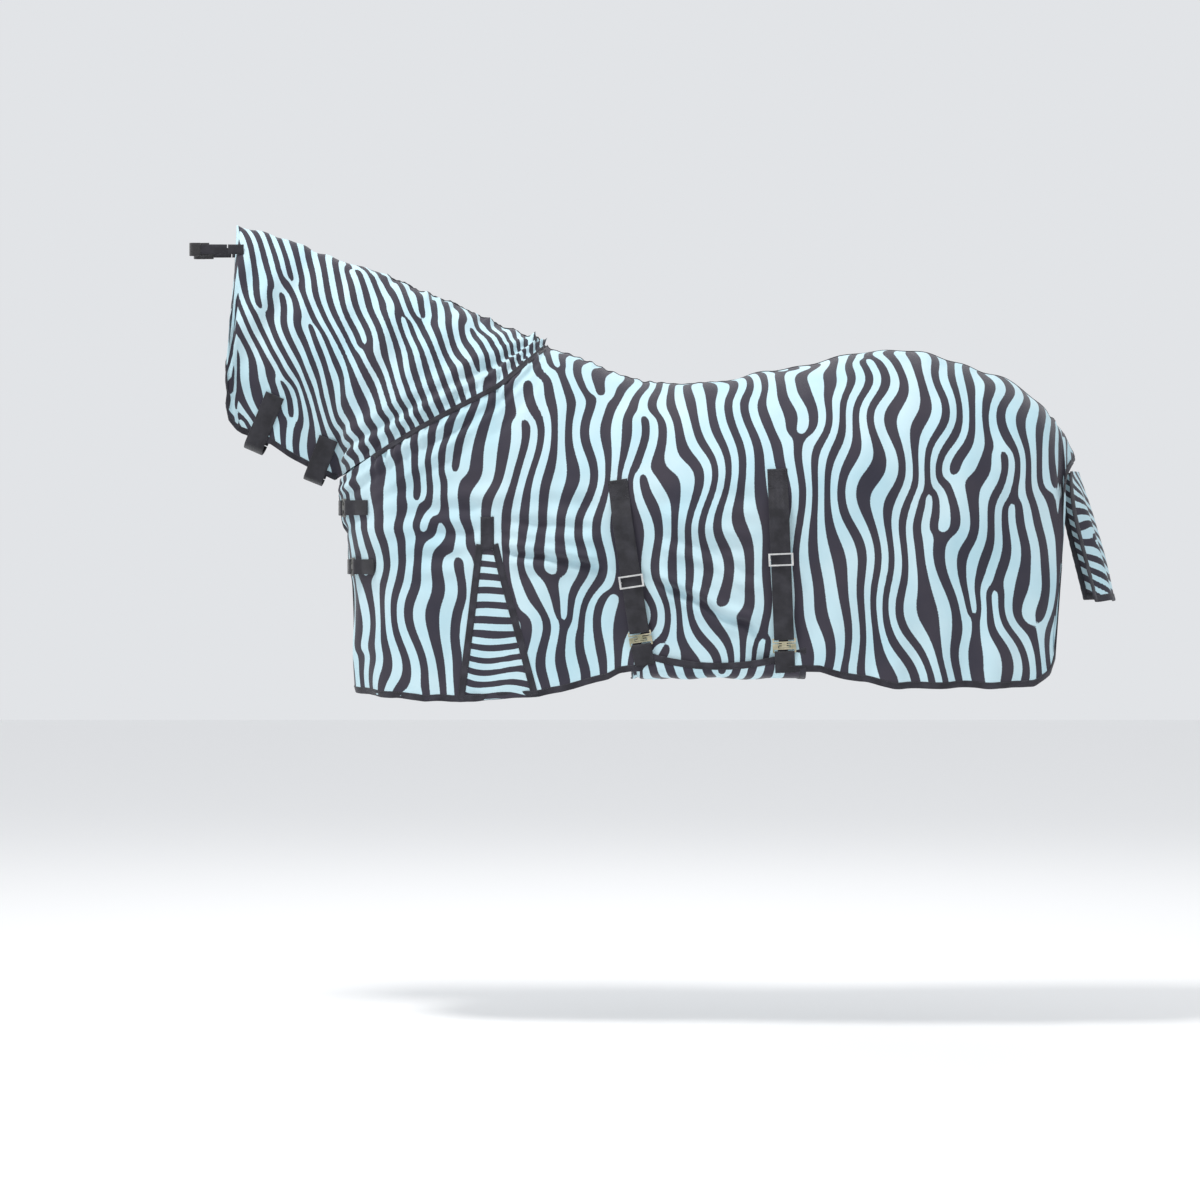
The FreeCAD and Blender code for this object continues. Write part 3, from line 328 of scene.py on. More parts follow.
def station(cast, start, end, rows, rays=150):
    """An even row of points along the cloth's longest unbroken run in one fan, and their lengths."""
    angles = np.linspace(start, end, rays)
    hits = [cast(a) for a in angles]
    runs, begin = [], None
    for k in range(rays + 1):
        found = k < rays and hits[k] is not None
        if found and begin is None:
            begin = k
        if not found and begin is not None:
            runs.append((begin, k - 1))
            begin = None
    first, last = max(runs, key=lambda run: run[1] - run[0])
    line = [hits[k] for k in range(first, last + 1)]
    if first > 0:
        line.insert(0, edge_of(cast, angles[first - 1], angles[first]))
    if last < rays - 1:
        line.append(edge_of(cast, angles[last + 1], angles[last]))
    line = np.array([tuple(p) for p in line])
    lengths = np.concatenate([[0], np.cumsum(np.linalg.norm(np.diff(line, axis=0), axis=1))])
    marks = np.linspace(0, lengths[-1], rows)
    return np.column_stack([np.interp(marks, lengths, line[:, k]) for k in range(3)])


def net(fans, rows):
    return np.array([station(*one, rows) for one in fans])


def eased(grid, rounds=3):
    """Takes the facets of the shell's triangles out of a net, and keeps its edges where they are."""
    grid = grid.copy()
    for _ in range(rounds):
        grid[1:-1, 1:-1] = (grid[:-2, 1:-1] + grid[2:, 1:-1] + grid[1:-1, :-2] + grid[1:-1, 2:]
                            + 2 * grid[1:-1, 1:-1]) / 6
    return grid


CELL = 0.0062
SHOULDER = Vector((-0.45, 0, -0.35))
body_tree = shell_tree("body_panel_left", "shoulder_gusset_left", "hem_binding_left", "rear_binding_left",
                       "chest_binding_left")
body_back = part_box("body_panel_left")[1].x
fans = []
turns = np.radians(np.linspace(1.3, 90, int(0.36 / CELL)))
for turn in turns[:-1]:
    level = Vector((-math.cos(turn), -math.sin(turn), 0))
    fans.append(fan(body_tree, SHOULDER, level, math.radians(60), math.radians(-75)))
for x in np.arange(SHOULDER.x, body_back - 0.003, CELL):
    fans.append(fan(body_tree, Vector((x, 0, -0.35)), Vector((0, -1, 0)), math.radians(89.7),
                    math.radians(-75)))
body_net = eased(net(fans, int(1.0 / CELL)))
print("body net", body_net.shape, "from", body_net.min((0, 1)).round(3), "to", body_net.max((0, 1)).round(3))

neck_tree = shell_tree("neck_panel_left", "neck_front_binding_left", "neck_lower_binding_left")
neck_low, neck_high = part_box("neck_front_binding_left")[0].x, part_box("neck_panel_left")[1].x
fans = []
for x in np.arange(neck_low + 0.004, neck_high - 0.002, CELL):
    height = np.interp(x, (-0.99, -0.73, -0.19), (0.16, -0.02, -0.10))
    fans.append(fan(neck_tree, Vector((x, 0, height)), Vector((0, -1, 0)), math.radians(89.7),
                    math.radians(-88)))
neck_net = eased(net(fans, int(0.5 / CELL)))
print("neck net", neck_net.shape, "from", neck_net.min((0, 1)).round(3), "to", neck_net.max((0, 1)).round(3))

# %% [markdown]
# ## Lengths on the cloth
# A print and a fold both live on the flat cloth, not in the air, so each point of a net needs two
# lengths: how far along the sheet it is, and how far down from the back seam. They become the UV map.


# %% Cloth lengths and surface directions
def cloth_lengths(grid):
    """Length along the sheet for every station, and length down from the top edge for every point."""
    steps = np.linalg.norm(np.diff(grid[:, grid.shape[1] // 2], axis=0), axis=1)
    along = np.concatenate([[0], np.cumsum(steps)])
    down = np.concatenate([np.zeros((len(grid), 1)),
                           np.cumsum(np.linalg.norm(np.diff(grid, axis=1), axis=2), axis=1)], axis=1)
    return along, down


def outward(grid, side=-1):
    """Unit directions out of the cloth; side is -1 on the left of the horse and 1 on the right."""
    first = np.gradient(grid, axis=0)
    second = np.gradient(grid, axis=1)
    normal = np.cross(first, second)
    normal /= np.linalg.norm(normal, axis=2, keepdims=True) + 1e-12
    sign = np.sign(normal[len(grid) // 2, grid.shape[1] // 2, 1]) * side
    return normal * sign


def waves(seed, u, v, length_u, length_v, count=18):
    """A smooth random surface between about -1 and 1, with bumps of about these two lengths."""
    rng = np.random.default_rng(seed)
    total = np.zeros_like(u + v)
    for _ in range(count):
        ku = 2 * np.pi / length_u * rng.uniform(0.55, 1.3) * rng.choice((-1, 1))
        kv = 2 * np.pi / length_v * rng.uniform(0.2, 1.2)
        total += np.cos(ku * u + kv * v + rng.uniform(0, 2 * np.pi))
    return total / math.sqrt(count)


def bell(distance, width):
    return np.exp(-(distance / width) ** 2)


def rise(value, low, high):
    share = np.clip((value - low) / (high - low), 0, 1)
    return share * share * (3 - 2 * share)


def line_distance(x, z, path):
    """Distance in the side view from each point to a path, signed: positive above the path."""
    best, sign = np.full(x.shape, 9.0), np.zeros(x.shape)
    for (x0, z0), (x1, z1) in zip(path[:-1], path[1:]):
        length_squared = (x1 - x0) ** 2 + (z1 - z0) ** 2
        share = np.clip(((x - x0) * (x1 - x0) + (z - z0) * (z1 - z0)) / length_squared, 0, 1)
        away = np.hypot(x - x0 - share * (x1 - x0), z - z0 - share * (z1 - z0))
        side = np.sign((z - z0) * (x1 - x0) - (x - x0) * (z1 - z0))
        closer = away < best
        best, sign = np.where(closer, away, best), np.where(closer, side, sign)
    return best * sign


def near_boxes(grid, names, margin):
    """1 on cloth that lies under the named nodes in the side view, fading to 0 over the margin."""
    shade = np.zeros(grid.shape[:2])
    for name in names:
        low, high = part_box(name)
        dx = np.maximum(np.maximum(low.x - grid[..., 0], grid[..., 0] - high.x), 0)
        dz = np.maximum(np.maximum(low.z - grid[..., 2], grid[..., 2] - high.z), 0)
        shade = np.maximum(shade, 1 - rise(np.hypot(dx, dz), 0.0, margin))
    return shade


# %% [markdown]
# ## Folds in the body
# Mesh cloth on a horse is pulled between its seams, so its folds run along the pull. There is a long
# tension crease from the top of the shoulder gusset back to the rear hook, faint level wrinkles over the
# ribs, gathers below the neck seam, and soft waves that grow towards the hem where the cloth hangs free.
# A cloth solver would find folds too, but not these ones, so each kind is written as a rule of the two
# cloth lengths and laid on the net along its outward direction. Under a sewn strap the cloth stays flat.


# %% Fold the body cloth
def body_folds(grid, along, down, fixed, side):
    """Depth of every fold; fixed is the length down the cloth counted from a level line on the flank."""
    u, v = along[:, None] + 0 * down, fixed
    x, z = grid[..., 0], grid[..., 2]
    from_top = down + 0.0
    depth = 0.0042 * waves(11, u, v, 0.30, 0.34) + 0.0020 * waves(12, u, v, 0.11, 0.30)
    hang = rise(-z, 0.30, 0.85) ** 1.5
    depth += hang * 0.0075 * waves(13, u, v * 0.25, 0.150, 0.9)
    seam = rise(-x, 0.15, 0.30)
    depth += seam * bell(from_top, 0.055) * 0.0050 * waves(14, u, v, 0.026, 0.30)
    depth += seam * (0.0105 * bell(from_top - 0.034, 0.013) - 0.0065 * bell(from_top - 0.060, 0.013)
                     + 0.0085 * bell(from_top - 0.092 - 0.02 * np.sin(u * 9), 0.017)
                     - 0.005 * bell(from_top - 0.126, 0.018)) * (0.75 + 0.25 * waves(15, u, v, 0.16, 0.5))
    ribs = bell(z + 0.40, 0.11) * rise(x, -0.66, -0.45) * (1 - rise(x, 0.30, 0.50))
    depth += ribs * 0.0078 * waves(16, u * 0.18, v + 0.06 * np.sin(2.2 * u + 1), 0.10, 0.062, 10)
    withers = bell(x + 0.20, 0.34) * bell(down, 0.06)
    depth += withers * 0.0036 * waves(17, u, v, 0.030, 0.20)
    if side < 0:
        crease = line_distance(x, z, CREASE)
        reach = rise(x, -0.34, -0.26) * (1 - rise(x, 0.36, 0.42))
        depth += reach * (-0.0100 * bell(crease, 0.008) + 0.0165 * bell(crease - 0.020, 0.013)
                          + 0.0060 * bell(crease + 0.022, 0.014))
        above = line_distance(x, z, CREASE) - 0.075 - 0.02 * np.sin(6 * x)
        depth += reach * (0.0065 * bell(above, 0.014) - 0.0050 * bell(above - 0.026, 0.012))
        depth *= 1 - 0.92 * near_boxes(grid, STRAPS_ON_SIDE, 0.05)
    depth *= 1 - 0.7 * near_boxes(grid, GUSSET_TRIM, 0.03)
    to_seam = np.minimum(*(np.abs(line_distance(x, z, path)) for path in GUSSET_SEAMS))
    depth *= rise(to_seam, 0.010, 0.045)
    depth *= 1 - seam * (1 - rise(from_top, 0.004, 0.024))
    chest = near_boxes(grid, CHEST_TRIM, 0.04)
    return depth * (1 - 0.9 * chest)


CREASE = [(-0.325, -0.445), (-0.15, -0.468), (-0.035, -0.492), (0.05, -0.512), (0.108, -0.533),
          (0.195, -0.570), (0.258, -0.612), (0.315, -0.628), (0.343, -0.660), (0.378, -0.673)]
STRAPS_ON_SIDE = ["surcingle_strap_front", "surcingle_strap_rear"]
GUSSET_TRIM = ["gusset_patch_left"]
GUSSET_SEAMS = [[(-0.351, -0.440), (-0.400, -0.830)], [(-0.315, -0.440), (-0.268, -0.610), (-0.209, -0.830)]]
CHEST_TRIM = [f"chest_strap_{side}_{level}" for side in ("left", "right") for level in ("upper", "lower")]
body_down = cloth_lengths(body_net)[1]
FLANK_LEVEL = 0.55            # how far below the withers the level line on the flank lies
PRINT_START = 0.75            # where the print's own sheet is when it reaches that line
flank = np.array([np.interp(FLANK_LEVEL, -column[:, 2], length)
                  for column, length in zip(body_net, body_down)])
level_line = np.array([[np.interp(FLANK_LEVEL, -column[:, 2], column[:, k]) for k in range(3)]
                       for column in body_net])
body_along = np.concatenate([[0], np.cumsum(np.linalg.norm(np.diff(level_line, axis=0), axis=1))])
body_print = body_down - flank[:, None] + PRINT_START
mirror = np.array([1, -1, 1])


def folded(grid, depth, side):
    return grid + outward(grid, side) * depth[..., None]


body_cloth = {}
for side, sign in (("left", -1), ("right", 1)):
    depth = body_folds(body_net, body_along, body_down, body_print, sign)
    body_cloth[side] = folded(body_net * (mirror if sign > 0 else 1), depth, sign)
print("body cloth, deepest fold (mm)", round(1000 * float(np.abs(body_cloth["left"] - body_net).max()), 1))

# %% [markdown]
# ## Folds in the neck
# The neck cover hangs loose from the crest. Elastic gathers it along the top, so short wrinkles start
# there and fade, and longer folds run down and forward to the throat. Next to the body seam the cloth
# is puckered where the longer edge was eased into the shorter one.


# %% Fold the neck cloth
def neck_folds(grid, along, down):
    u, v = along[:, None] + 0 * down, down
    x = grid[..., 0]
    share = np.linspace(0, 1, grid.shape[1])[None, :] + 0 * down
    from_low = down[:, -1:] - down
    crest = rise(x, -0.70, -0.52) * bell(v, 0.075)
    depth = crest * 0.0050 * waves(31, u, v, 0.034, 0.24) * (0.15 + 0.85 * rise(v, 0.0, 0.035))
    slack = np.sin(np.pi * np.clip(share, 0, 1)) * (1 - rise(x, -0.36, -0.20))
    depth += slack * 0.0090 * waves(32, u + 0.55 * v, v, 0.125, 1.4) + 0.0024 * waves(33, u, v, 0.06, 0.20)
    body_side = rise(x, -0.75, -0.70)
    depth += body_side * bell(from_low, 0.05) * 0.0052 * waves(34, u, v, 0.024, 0.30)
    depth += body_side * (0.0120 * bell(from_low - 0.038, 0.014) - 0.0065 * bell(from_low - 0.064, 0.013)
                          + 0.0080 * bell(from_low - 0.096, 0.017))
    depth *= 1 - body_side * (1 - rise(from_low, 0.004, 0.024))
    return depth * (1 - 0.85 * near_boxes(grid, NECK_TRIM, 0.03))


NECK_TRIM = ["neck_strap_front", "neck_strap_rear", "neck_loop_patch_front", "neck_loop_patch_rear",
             "poll_base_left"]
neck_along, neck_down = cloth_lengths(neck_net)
neck_cloth = {"left": folded(neck_net, neck_folds(neck_net, neck_along, neck_down), -1),
              "right": folded(neck_net * mirror, neck_folds(neck_net, neck_along, neck_down), 1)}
print("neck cloth, deepest fold (mm)", round(1000 * float(np.abs(neck_cloth["left"] - neck_net).max()), 1))

# %% [markdown]
# ## The zebra wave
# Zebra stripes fork, end in points and sway, yet keep an even width. A wave texture can't fork, and a
# noise texture has no even width. The pattern-forming equation of Swift and Hohenberg has both: it
# starts from noise, lets one wavelength grow, and holds stripes together by a cubic term. A small
# penalty on waves in one direction makes the stripes run mostly up and down. It is solved on a coarse
# flat sheet by Fourier transform, with a fixed seed, and then read off at each point's cloth lengths.


# %% Grow stripes on a flat sheet
def grow_stripes(width, height, period, seed, upright=0.42, rounds=70, cell=0.006):
    size = (int(width / cell), int(height / cell))
    k_u = 2 * np.pi * np.fft.fftfreq(size[0], cell)[:, None]
    k_v = 2 * np.pi * np.fft.rfftfreq(size[1], cell)[None, :]
    wanted = 2 * np.pi / period
    growth = 0.65 - ((k_u ** 2 + k_v ** 2) / wanted ** 2 - 1) ** 2 - upright * (k_v / wanted) ** 2
    sheet = np.random.default_rng(seed).normal(0, 0.3, size)
    step = 0.5
    for _ in range(rounds):
        change = np.fft.rfft2(sheet - step * sheet ** 3) / (1 - step * growth)
        sheet = np.fft.irfft2(change, s=size)
    return sheet / np.abs(sheet).max(), cell


def read_sheet(grown, u, v):
    """The wave at each pair of lengths, taken evenly between the cells of the grown sheet."""
    sheet, cell = grown
    a, b = u / cell % sheet.shape[0], v / cell % sheet.shape[1]
    i, j = np.floor(a).astype(int), np.floor(b).astype(int)
    fa, fb = a - i, b - j
    i, j = i % sheet.shape[0], j % sheet.shape[1]
    i2, j2 = (i + 1) % sheet.shape[0], (j + 1) % sheet.shape[1]
    return (sheet[i, j] * (1 - fa) * (1 - fb) + sheet[i2, j] * fa * (1 - fb)
            + sheet[i, j2] * (1 - fa) * fb + sheet[i2, j2] * fa * fb)


def sway(grown, u, v, seed, reach=0.013):
    """Stripes that wander sideways and change width slowly."""
    wander = reach * waves(seed, u, v, 0.30, 0.26)
    lift = 0.008 * waves(seed + 1, u, v, 0.24, 0.30)
    return read_sheet(grown, u + wander, v + lift) + 0.10 * waves(seed + 2, u, v, 0.14, 0.20)


stripes = {"left": grow_stripes(2.2, 1.25, 0.046, 5), "right": grow_stripes(2.2, 1.25, 0.046, 8),
           "neck": grow_stripes(1.5, 1.0, 0.036, 21, 0.5)}
print("grown sheets", {name: grown[0].shape for name, grown in stripes.items()})

# %% [markdown]
# ## From a net to a piece of cloth
# A net of points becomes a mesh of four-sided cells. The UV map is the two cloth lengths in metres and
# the stripe wave is a value on every point. Where another piece of cloth takes over, as in the gusset,
# the cells are left out and the tapes cover the cut.


# %% Make cloth pieces
def cloth_piece(name, grid, u, v, stripe, body, keep=None, flip=False, material=None):
    columns, rows = grid.shape[:2]
    number = np.arange(columns * rows).reshape(columns, rows)
    quads = np.stack([number[:-1, :-1], number[:-1, 1:], number[1:, 1:], number[1:, :-1]], axis=-1)
    if keep is not None:
        corners = keep[:-1, :-1] & keep[:-1, 1:] & keep[1:, 1:] & keep[1:, :-1]
        quads = quads[corners]
    quads = quads.reshape(-1, 4)
    if flip:
        quads = quads[:, ::-1]
    mesh = bpy.data.meshes.new(name)
    mesh.from_pydata(grid.reshape(-1, 3).tolist(), [], quads.tolist())
    layer = mesh.uv_layers.new(name="cloth")
    corner_points = np.zeros(len(mesh.loops), np.int32)
    mesh.loops.foreach_get("vertex_index", corner_points)
    flat = np.column_stack([(u + 0 * v).reshape(-1), (v + 0 * u).reshape(-1)])
    layer.data.foreach_set("uv", flat[corner_points].astype(np.float32).reshape(-1))
    if stripe is not None:
        wave = mesh.attributes.new("stripe", "FLOAT", "POINT")
        wave.data.foreach_set("value", stripe.astype(np.float32).reshape(-1))
    bm = bmesh.new()
    bm.from_mesh(mesh)
    bmesh.ops.delete(bm, geom=[p for p in bm.verts if not p.link_faces], context="VERTS")
    bm.to_mesh(mesh)
    bm.free()
    mesh.shade_smooth()
    mesh.materials.append(material or PRINTED)
    piece = bpy.data.objects.new(name, mesh)
    bpy.context.scene.collection.objects.link(piece)
    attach(piece, body)
    return piece


def inside_gusset(grid, names, shrink):
    """True where a point of the net lies under the gusset, in the side view, well inside its seams."""
    tree = shell_tree(*names)
    inside = np.zeros(grid.shape[:2], bool)
    low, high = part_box(names[0])
    for i, j in np.argwhere((grid[..., 0] > low.x) & (grid[..., 0] < high.x) & (grid[..., 2] < high.z)):
        p = grid[i, j]
        spots = [(p[0] + dx, -1, p[2]) for dx in (-shrink, 0, shrink)]
        inside[i, j] = all(tree.ray_cast(Vector(s), Vector((0, 1, 0)))[0] for s in spots)
    return inside


hole = inside_gusset(body_net, ["shoulder_gusset_left", "hem_binding_left"], 0.004)
hole &= body_net[..., 0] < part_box("shoulder_gusset_left")[1].x
panels = {}
for side, flip in (("left", False), ("right", True)):
    grid = body_cloth[side]
    u, v = body_along[:, None] + 0 * body_down, body_print
    wave = sway(stripes[side], u, v, 41 if side == "left" else 51)
    panels[side] = cloth_piece(f"body_cloth_{side}", grid, u, v, wave, "sheet", flip=flip,
                               keep=~hole)
    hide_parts(f"body_panel_{side}")
    grid = neck_cloth[side]
    u, v = neck_along[:, None] + 0 * neck_down, neck_down
    wave = sway(stripes["neck"], u - 0.35 * v + (0.4 if side == "right" else 0), v, 61, 0.009) + 0.06
    panels["neck_" + side] = cloth_piece(f"neck_cloth_{side}", grid, u, v, wave, "sheet", flip=flip)
    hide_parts(f"neck_panel_{side}")
print("cloth pieces", {name: len(piece.data.polygons) for name, piece in panels.items()})


# %% [markdown]
# ## The shoulder gusset
# A wedge of cloth is let into the panel behind each foreleg, so that the horse can stride. It is cut
# with the print turned on its side, so its stripes lie level. It is a small net of its own, read from
# the gusset's shell, with its edges running on under the tapes.

# %% Gusset cloth
gusset_low, gusset_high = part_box("shoulder_gusset_left")
gusset_top = gusset_high.z + 0.012
hem_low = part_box("hem_binding_left")[0].z


def side_point(tree, x, z, side=-1):
    """Where the outside of one side of the sheet is, seen from that side, and its direction outwards."""
    hit, normal = tree.ray_cast(Vector((x, side * 1.2, z)), Vector((0, -side, 0)))[:2]
    return hit, normal


def hem_height(x):
    """The lowest cloth at one station."""
    column = body_net[np.argmin(np.abs(body_net[:, body_net.shape[1] // 2, 0] - x))]
    return column[-1, 2]


def cloth_tree(piece):
    return BVHTree.FromPolygons([v.co for v in piece.data.vertices],
                                [tuple(p.vertices) for p in piece.data.polygons])


def seam_at(path, z):
    """Where a gusset seam is along the sheet, at one height."""
    return np.interp(z, [p[1] for p in path[::-1]], [p[0] for p in path[::-1]])


def gusset_front(z):
    return seam_at(GUSSET_SEAMS[0], z)


def gusset_back(z):
    return seam_at(GUSSET_SEAMS[1], z)


shell = shell_tree("shoulder_gusset_left", "body_panel_left", "hem_binding_left")
rows = int((gusset_top - hem_low) / CELL)
GUSSET_COLUMNS = 40
gusset_net = np.zeros((GUSSET_COLUMNS, rows, 3))
z_low = min(hem_height(gusset_front(-0.8)), hem_height(gusset_back(-0.8))) + 0.003
for j in range(rows):
    z = gusset_top + (z_low - gusset_top) * j / (rows - 1)
    for i in range(GUSSET_COLUMNS):
        share = i / (GUSSET_COLUMNS - 1)
        start, stop = gusset_front(z) - 0.006, gusset_back(z) + 0.006
        x = start + (stop - start) * share
        hit = side_point(shell, x, max(z, hem_height(x) + 0.0005))[0]
        gusset_net[i, j] = tuple(hit) if hit is not None else gusset_net[i, j - 1]
gusset_net = eased(gusset_net)
gusset_stripes = grow_stripes(0.9, 0.7, 0.032, 77, 0.55)
for side, sign, flip in (("left", -1, False), ("right", 1, True)):
    grid = gusset_net * (mirror if sign > 0 else 1)
    along = np.cumsum(np.concatenate([[0], np.linalg.norm(np.diff(grid[:, -1], axis=0), axis=1)]))
    u = grid[..., 0] - gusset_low.x
    v = gusset_top - grid[..., 2]
    free = rise(grid[..., 2] - grid[:, -1:, 2], 0.012, 0.040) * rise(along / along[-1], 0.0, 0.2)[:, None]
    free *= rise(1 - along / along[-1], 0.0, 0.2)[:, None]
    depth = free * (0.0012 + 0.0024 * waves(71, u, v, 0.12, 0.16))
    depth -= 0.0024 * (1 - rise(grid[..., 2] - grid[:, -1:, 2], 0.010, 0.024))
    grid = folded(grid, depth, sign)
    wave = sway(gusset_stripes, v, u + 0.2, 73 + sign, 0.006)
    piece = cloth_piece(f"gusset_cloth_{side}", grid, u, v, wave, "sheet", flip=flip)
    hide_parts(f"shoulder_gusset_{side}")
    panels["gusset_" + side] = piece
print("gusset net", gusset_net.shape)

# %% [markdown]
# ## The belly flap and the tail flap
# The belly flap is sewn to the right hem, passes under the belly, and comes up on the left to the two
# hooks, where its bound edge sags a little between them. The tail flap hangs from the back seam over
# the top of the tail. Both are read from their shells in the same way as the panels.

# %% Flap cloth
flap_tree = shell_tree("belly_flap", "belly_flap_binding")
flap_low, flap_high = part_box("belly_flap")
fans = [fan(flap_tree, Vector((x, 0.0, -0.60)), Vector((0, -1, 0)), math.radians(25), math.radians(-215))
        for x in np.arange(flap_low.x + 0.002, flap_high.x - 0.001, CELL)]
flap_net = eased(net(fans, int(0.85 / CELL)))
tail_tree = shell_tree("tail_flap", "tail_flap_binding")
tail_low, tail_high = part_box("tail_flap_binding")
tail_rows = []
for z in np.linspace(tail_high.z - 0.003, tail_low.z + 0.004, int(0.36 / CELL)):
    hits = []
    for y in np.linspace(-0.16, 0.16, 321):
        hit = tail_tree.ray_cast(Vector((2.0, y, z)), Vector((-1, 0, 0)))[0]
        if hit is not None:
            hits.append(tuple(hit))
    hits = np.array(hits)
    marks = np.linspace(0, len(hits) - 1, int(0.30 / CELL))
    tail_rows.append(np.column_stack([np.interp(marks, np.arange(len(hits)), hits[:, k]) for k in range(3)]))
tail_net = eased(np.array(tail_rows).transpose(1, 0, 2))
print("flap net", flap_net.shape, "tail net", tail_net.shape)

flap_along, flap_down = cloth_lengths(flap_net)
u, v = flap_along[:, None] + 0 * flap_down, flap_down
depth = 0.0022 * waves(81, u, v, 0.16, 0.30) * rise(v, 0.0, 0.05) * rise(flap_down[:, -1:] - v, 0.0, 0.05)
depth *= 1 - near_boxes(flap_net, ["flap_loop_front", "flap_loop_rear"], 0.03)
normal = outward(flap_net)
normal *= np.sign((normal * (flap_net - np.array([0.25, 0, -0.6]))).sum(2, keepdims=True))
flap_cloth = flap_net + normal * depth[..., None]
wave = sway(stripes["right"], u + 0.3, v + 0.1, 83) + 0.10
belly_flap = cloth_piece("belly_flap_cloth", flap_cloth, u, v, wave, "belly_flap")
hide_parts("belly_flap")

tail_along, tail_down = cloth_lengths(tail_net)
u, v = tail_along[:, None] + 0 * tail_down, tail_down
normal = outward(tail_net)
normal *= np.sign(normal[..., :1])
depth = 0.0055 * waves(91, u, v * 0.3, 0.10, 0.8) * rise(v, 0.01, 0.12)
tail_cloth = tail_net + normal * depth[..., None]
tail_stripes = grow_stripes(0.9, 0.9, 0.034, 93, 0.45)
wave = sway(tail_stripes, v + 0.5 * np.abs(u - 0.15), u + 0.1, 95, 0.006)
tail_flap = cloth_piece("tail_flap_cloth", tail_cloth, u, v, wave, "tail_flap", flip=True)
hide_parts("tail_flap")
print("flap cloth", len(belly_flap.data.polygons), "tail cloth", len(tail_flap.data.polygons))

# %% [markdown]
# ## Folded bindings
# Every free edge is bound: a strip of tape is folded over it and stitched through. In cross-section it is
# a flat U, so a binding is made by carrying that U along the edge. It needs two lines read from the
# cloth: the edge itself, and the line one binding's width inside it.


# %% Carry a folded strip along an edge
def inner_line(grid, edge, width):
    """The cloth's edge ('top', 'low', 'front' or 'rear'), and the line that lies width inside it."""
    lines = {"top": grid, "low": grid[:, ::-1], "front": grid.transpose(1, 0, 2),
             "rear": grid[::-1].transpose(1, 0, 2)}[edge]
    inside = []
    for line in lines:
        lengths = np.concatenate([[0], np.cumsum(np.linalg.norm(np.diff(line[:60], axis=0), axis=1))])
        inside.append([np.interp(width, lengths, line[:60, k]) for k in range(3)])
    return lines[:, 0], np.array(inside)


FOLD = [(1.0, 0.55), (0.97, 1.0), (0.5, 1.12), (0.12, 1.05), (-0.06, 0.7), (-0.10, 0.0),
        (-0.06, -0.7), (0.12, -1.05), (0.5, -1.12), (0.97, -1.0), (1.0, -0.55)]


def strip_piece(name, rings, lengths, across, body, material, closed=True):
    """A tube through a list of rings of points, with the UV map in metres across and along."""
    count = len(rings[0])
    points = [tuple(p) for ring in rings for p in ring]
    faces, uvs = [], []
    spans = count if closed else count - 1
    for i in range(len(rings) - 1):
        for k in range(spans):
            m = (k + 1) % count
            faces.append((i * count + k, i * count + m, (i + 1) * count + m, (i + 1) * count + k))
            a, b = across[k], across[k + 1] if k + 1 < len(across) else across[k]
            uvs += [(a, lengths[i]), (b, lengths[i]), (b, lengths[i + 1]), (a, lengths[i + 1])]
    if closed:
        last = (len(rings) - 1) * count
        faces += [tuple(range(count))[::-1], tuple(range(last, last + count))]
        uvs += [(across[k], lengths[0]) for k in range(count)][::-1]
        uvs += [(across[k], lengths[-1]) for k in range(count)]
    mesh = bpy.data.meshes.new(name)
    mesh.from_pydata(points, [], faces)
    layer = mesh.uv_layers.new(name="cloth")
    layer.data.foreach_set("uv", np.array(uvs, np.float32).reshape(-1))
    bm = bmesh.new()
    bm.from_mesh(mesh)
    bmesh.ops.recalc_face_normals(bm, faces=bm.faces)
    bm.to_mesh(mesh)
    bm.free()
    mesh.shade_smooth()
    mesh.materials.append(material)
    piece = bpy.data.objects.new(name, mesh)
    bpy.context.scene.collection.objects.link(piece)
    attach(piece, body)
    return piece


def run_lengths(line):
    return np.concatenate([[0], np.cumsum(np.linalg.norm(np.diff(line, axis=0), axis=1))])


def binding(name, edge_line, inside_line, outside, body, half=0.0013, pucker=0.0):
    """A folded strip over an edge. outside is the unit direction out of the cloth at each point."""
    lengths = run_lengths(edge_line)
    rings = []
    for k, (edge, inside) in enumerate(zip(edge_line, inside_line)):
        thick = half * (1 + pucker * math.sin(lengths[k] * 2 * math.pi / 0.019))
        rings.append([edge + (inside - edge) * s + outside[k] * thick * t for s, t in FOLD])
    width = float(np.linalg.norm(inside_line[0] - edge_line[0]))
    across = [abs(s) * width + (0.02 if t < 0 else 0) for s, t in FOLD] + [width]
    piece = strip_piece(name, rings, lengths, across, body, TAPE)
    seams.append((piece, edge_line + (inside_line - edge_line) * 0.86 + outside * half * 1.12, outside, body))
    return piece


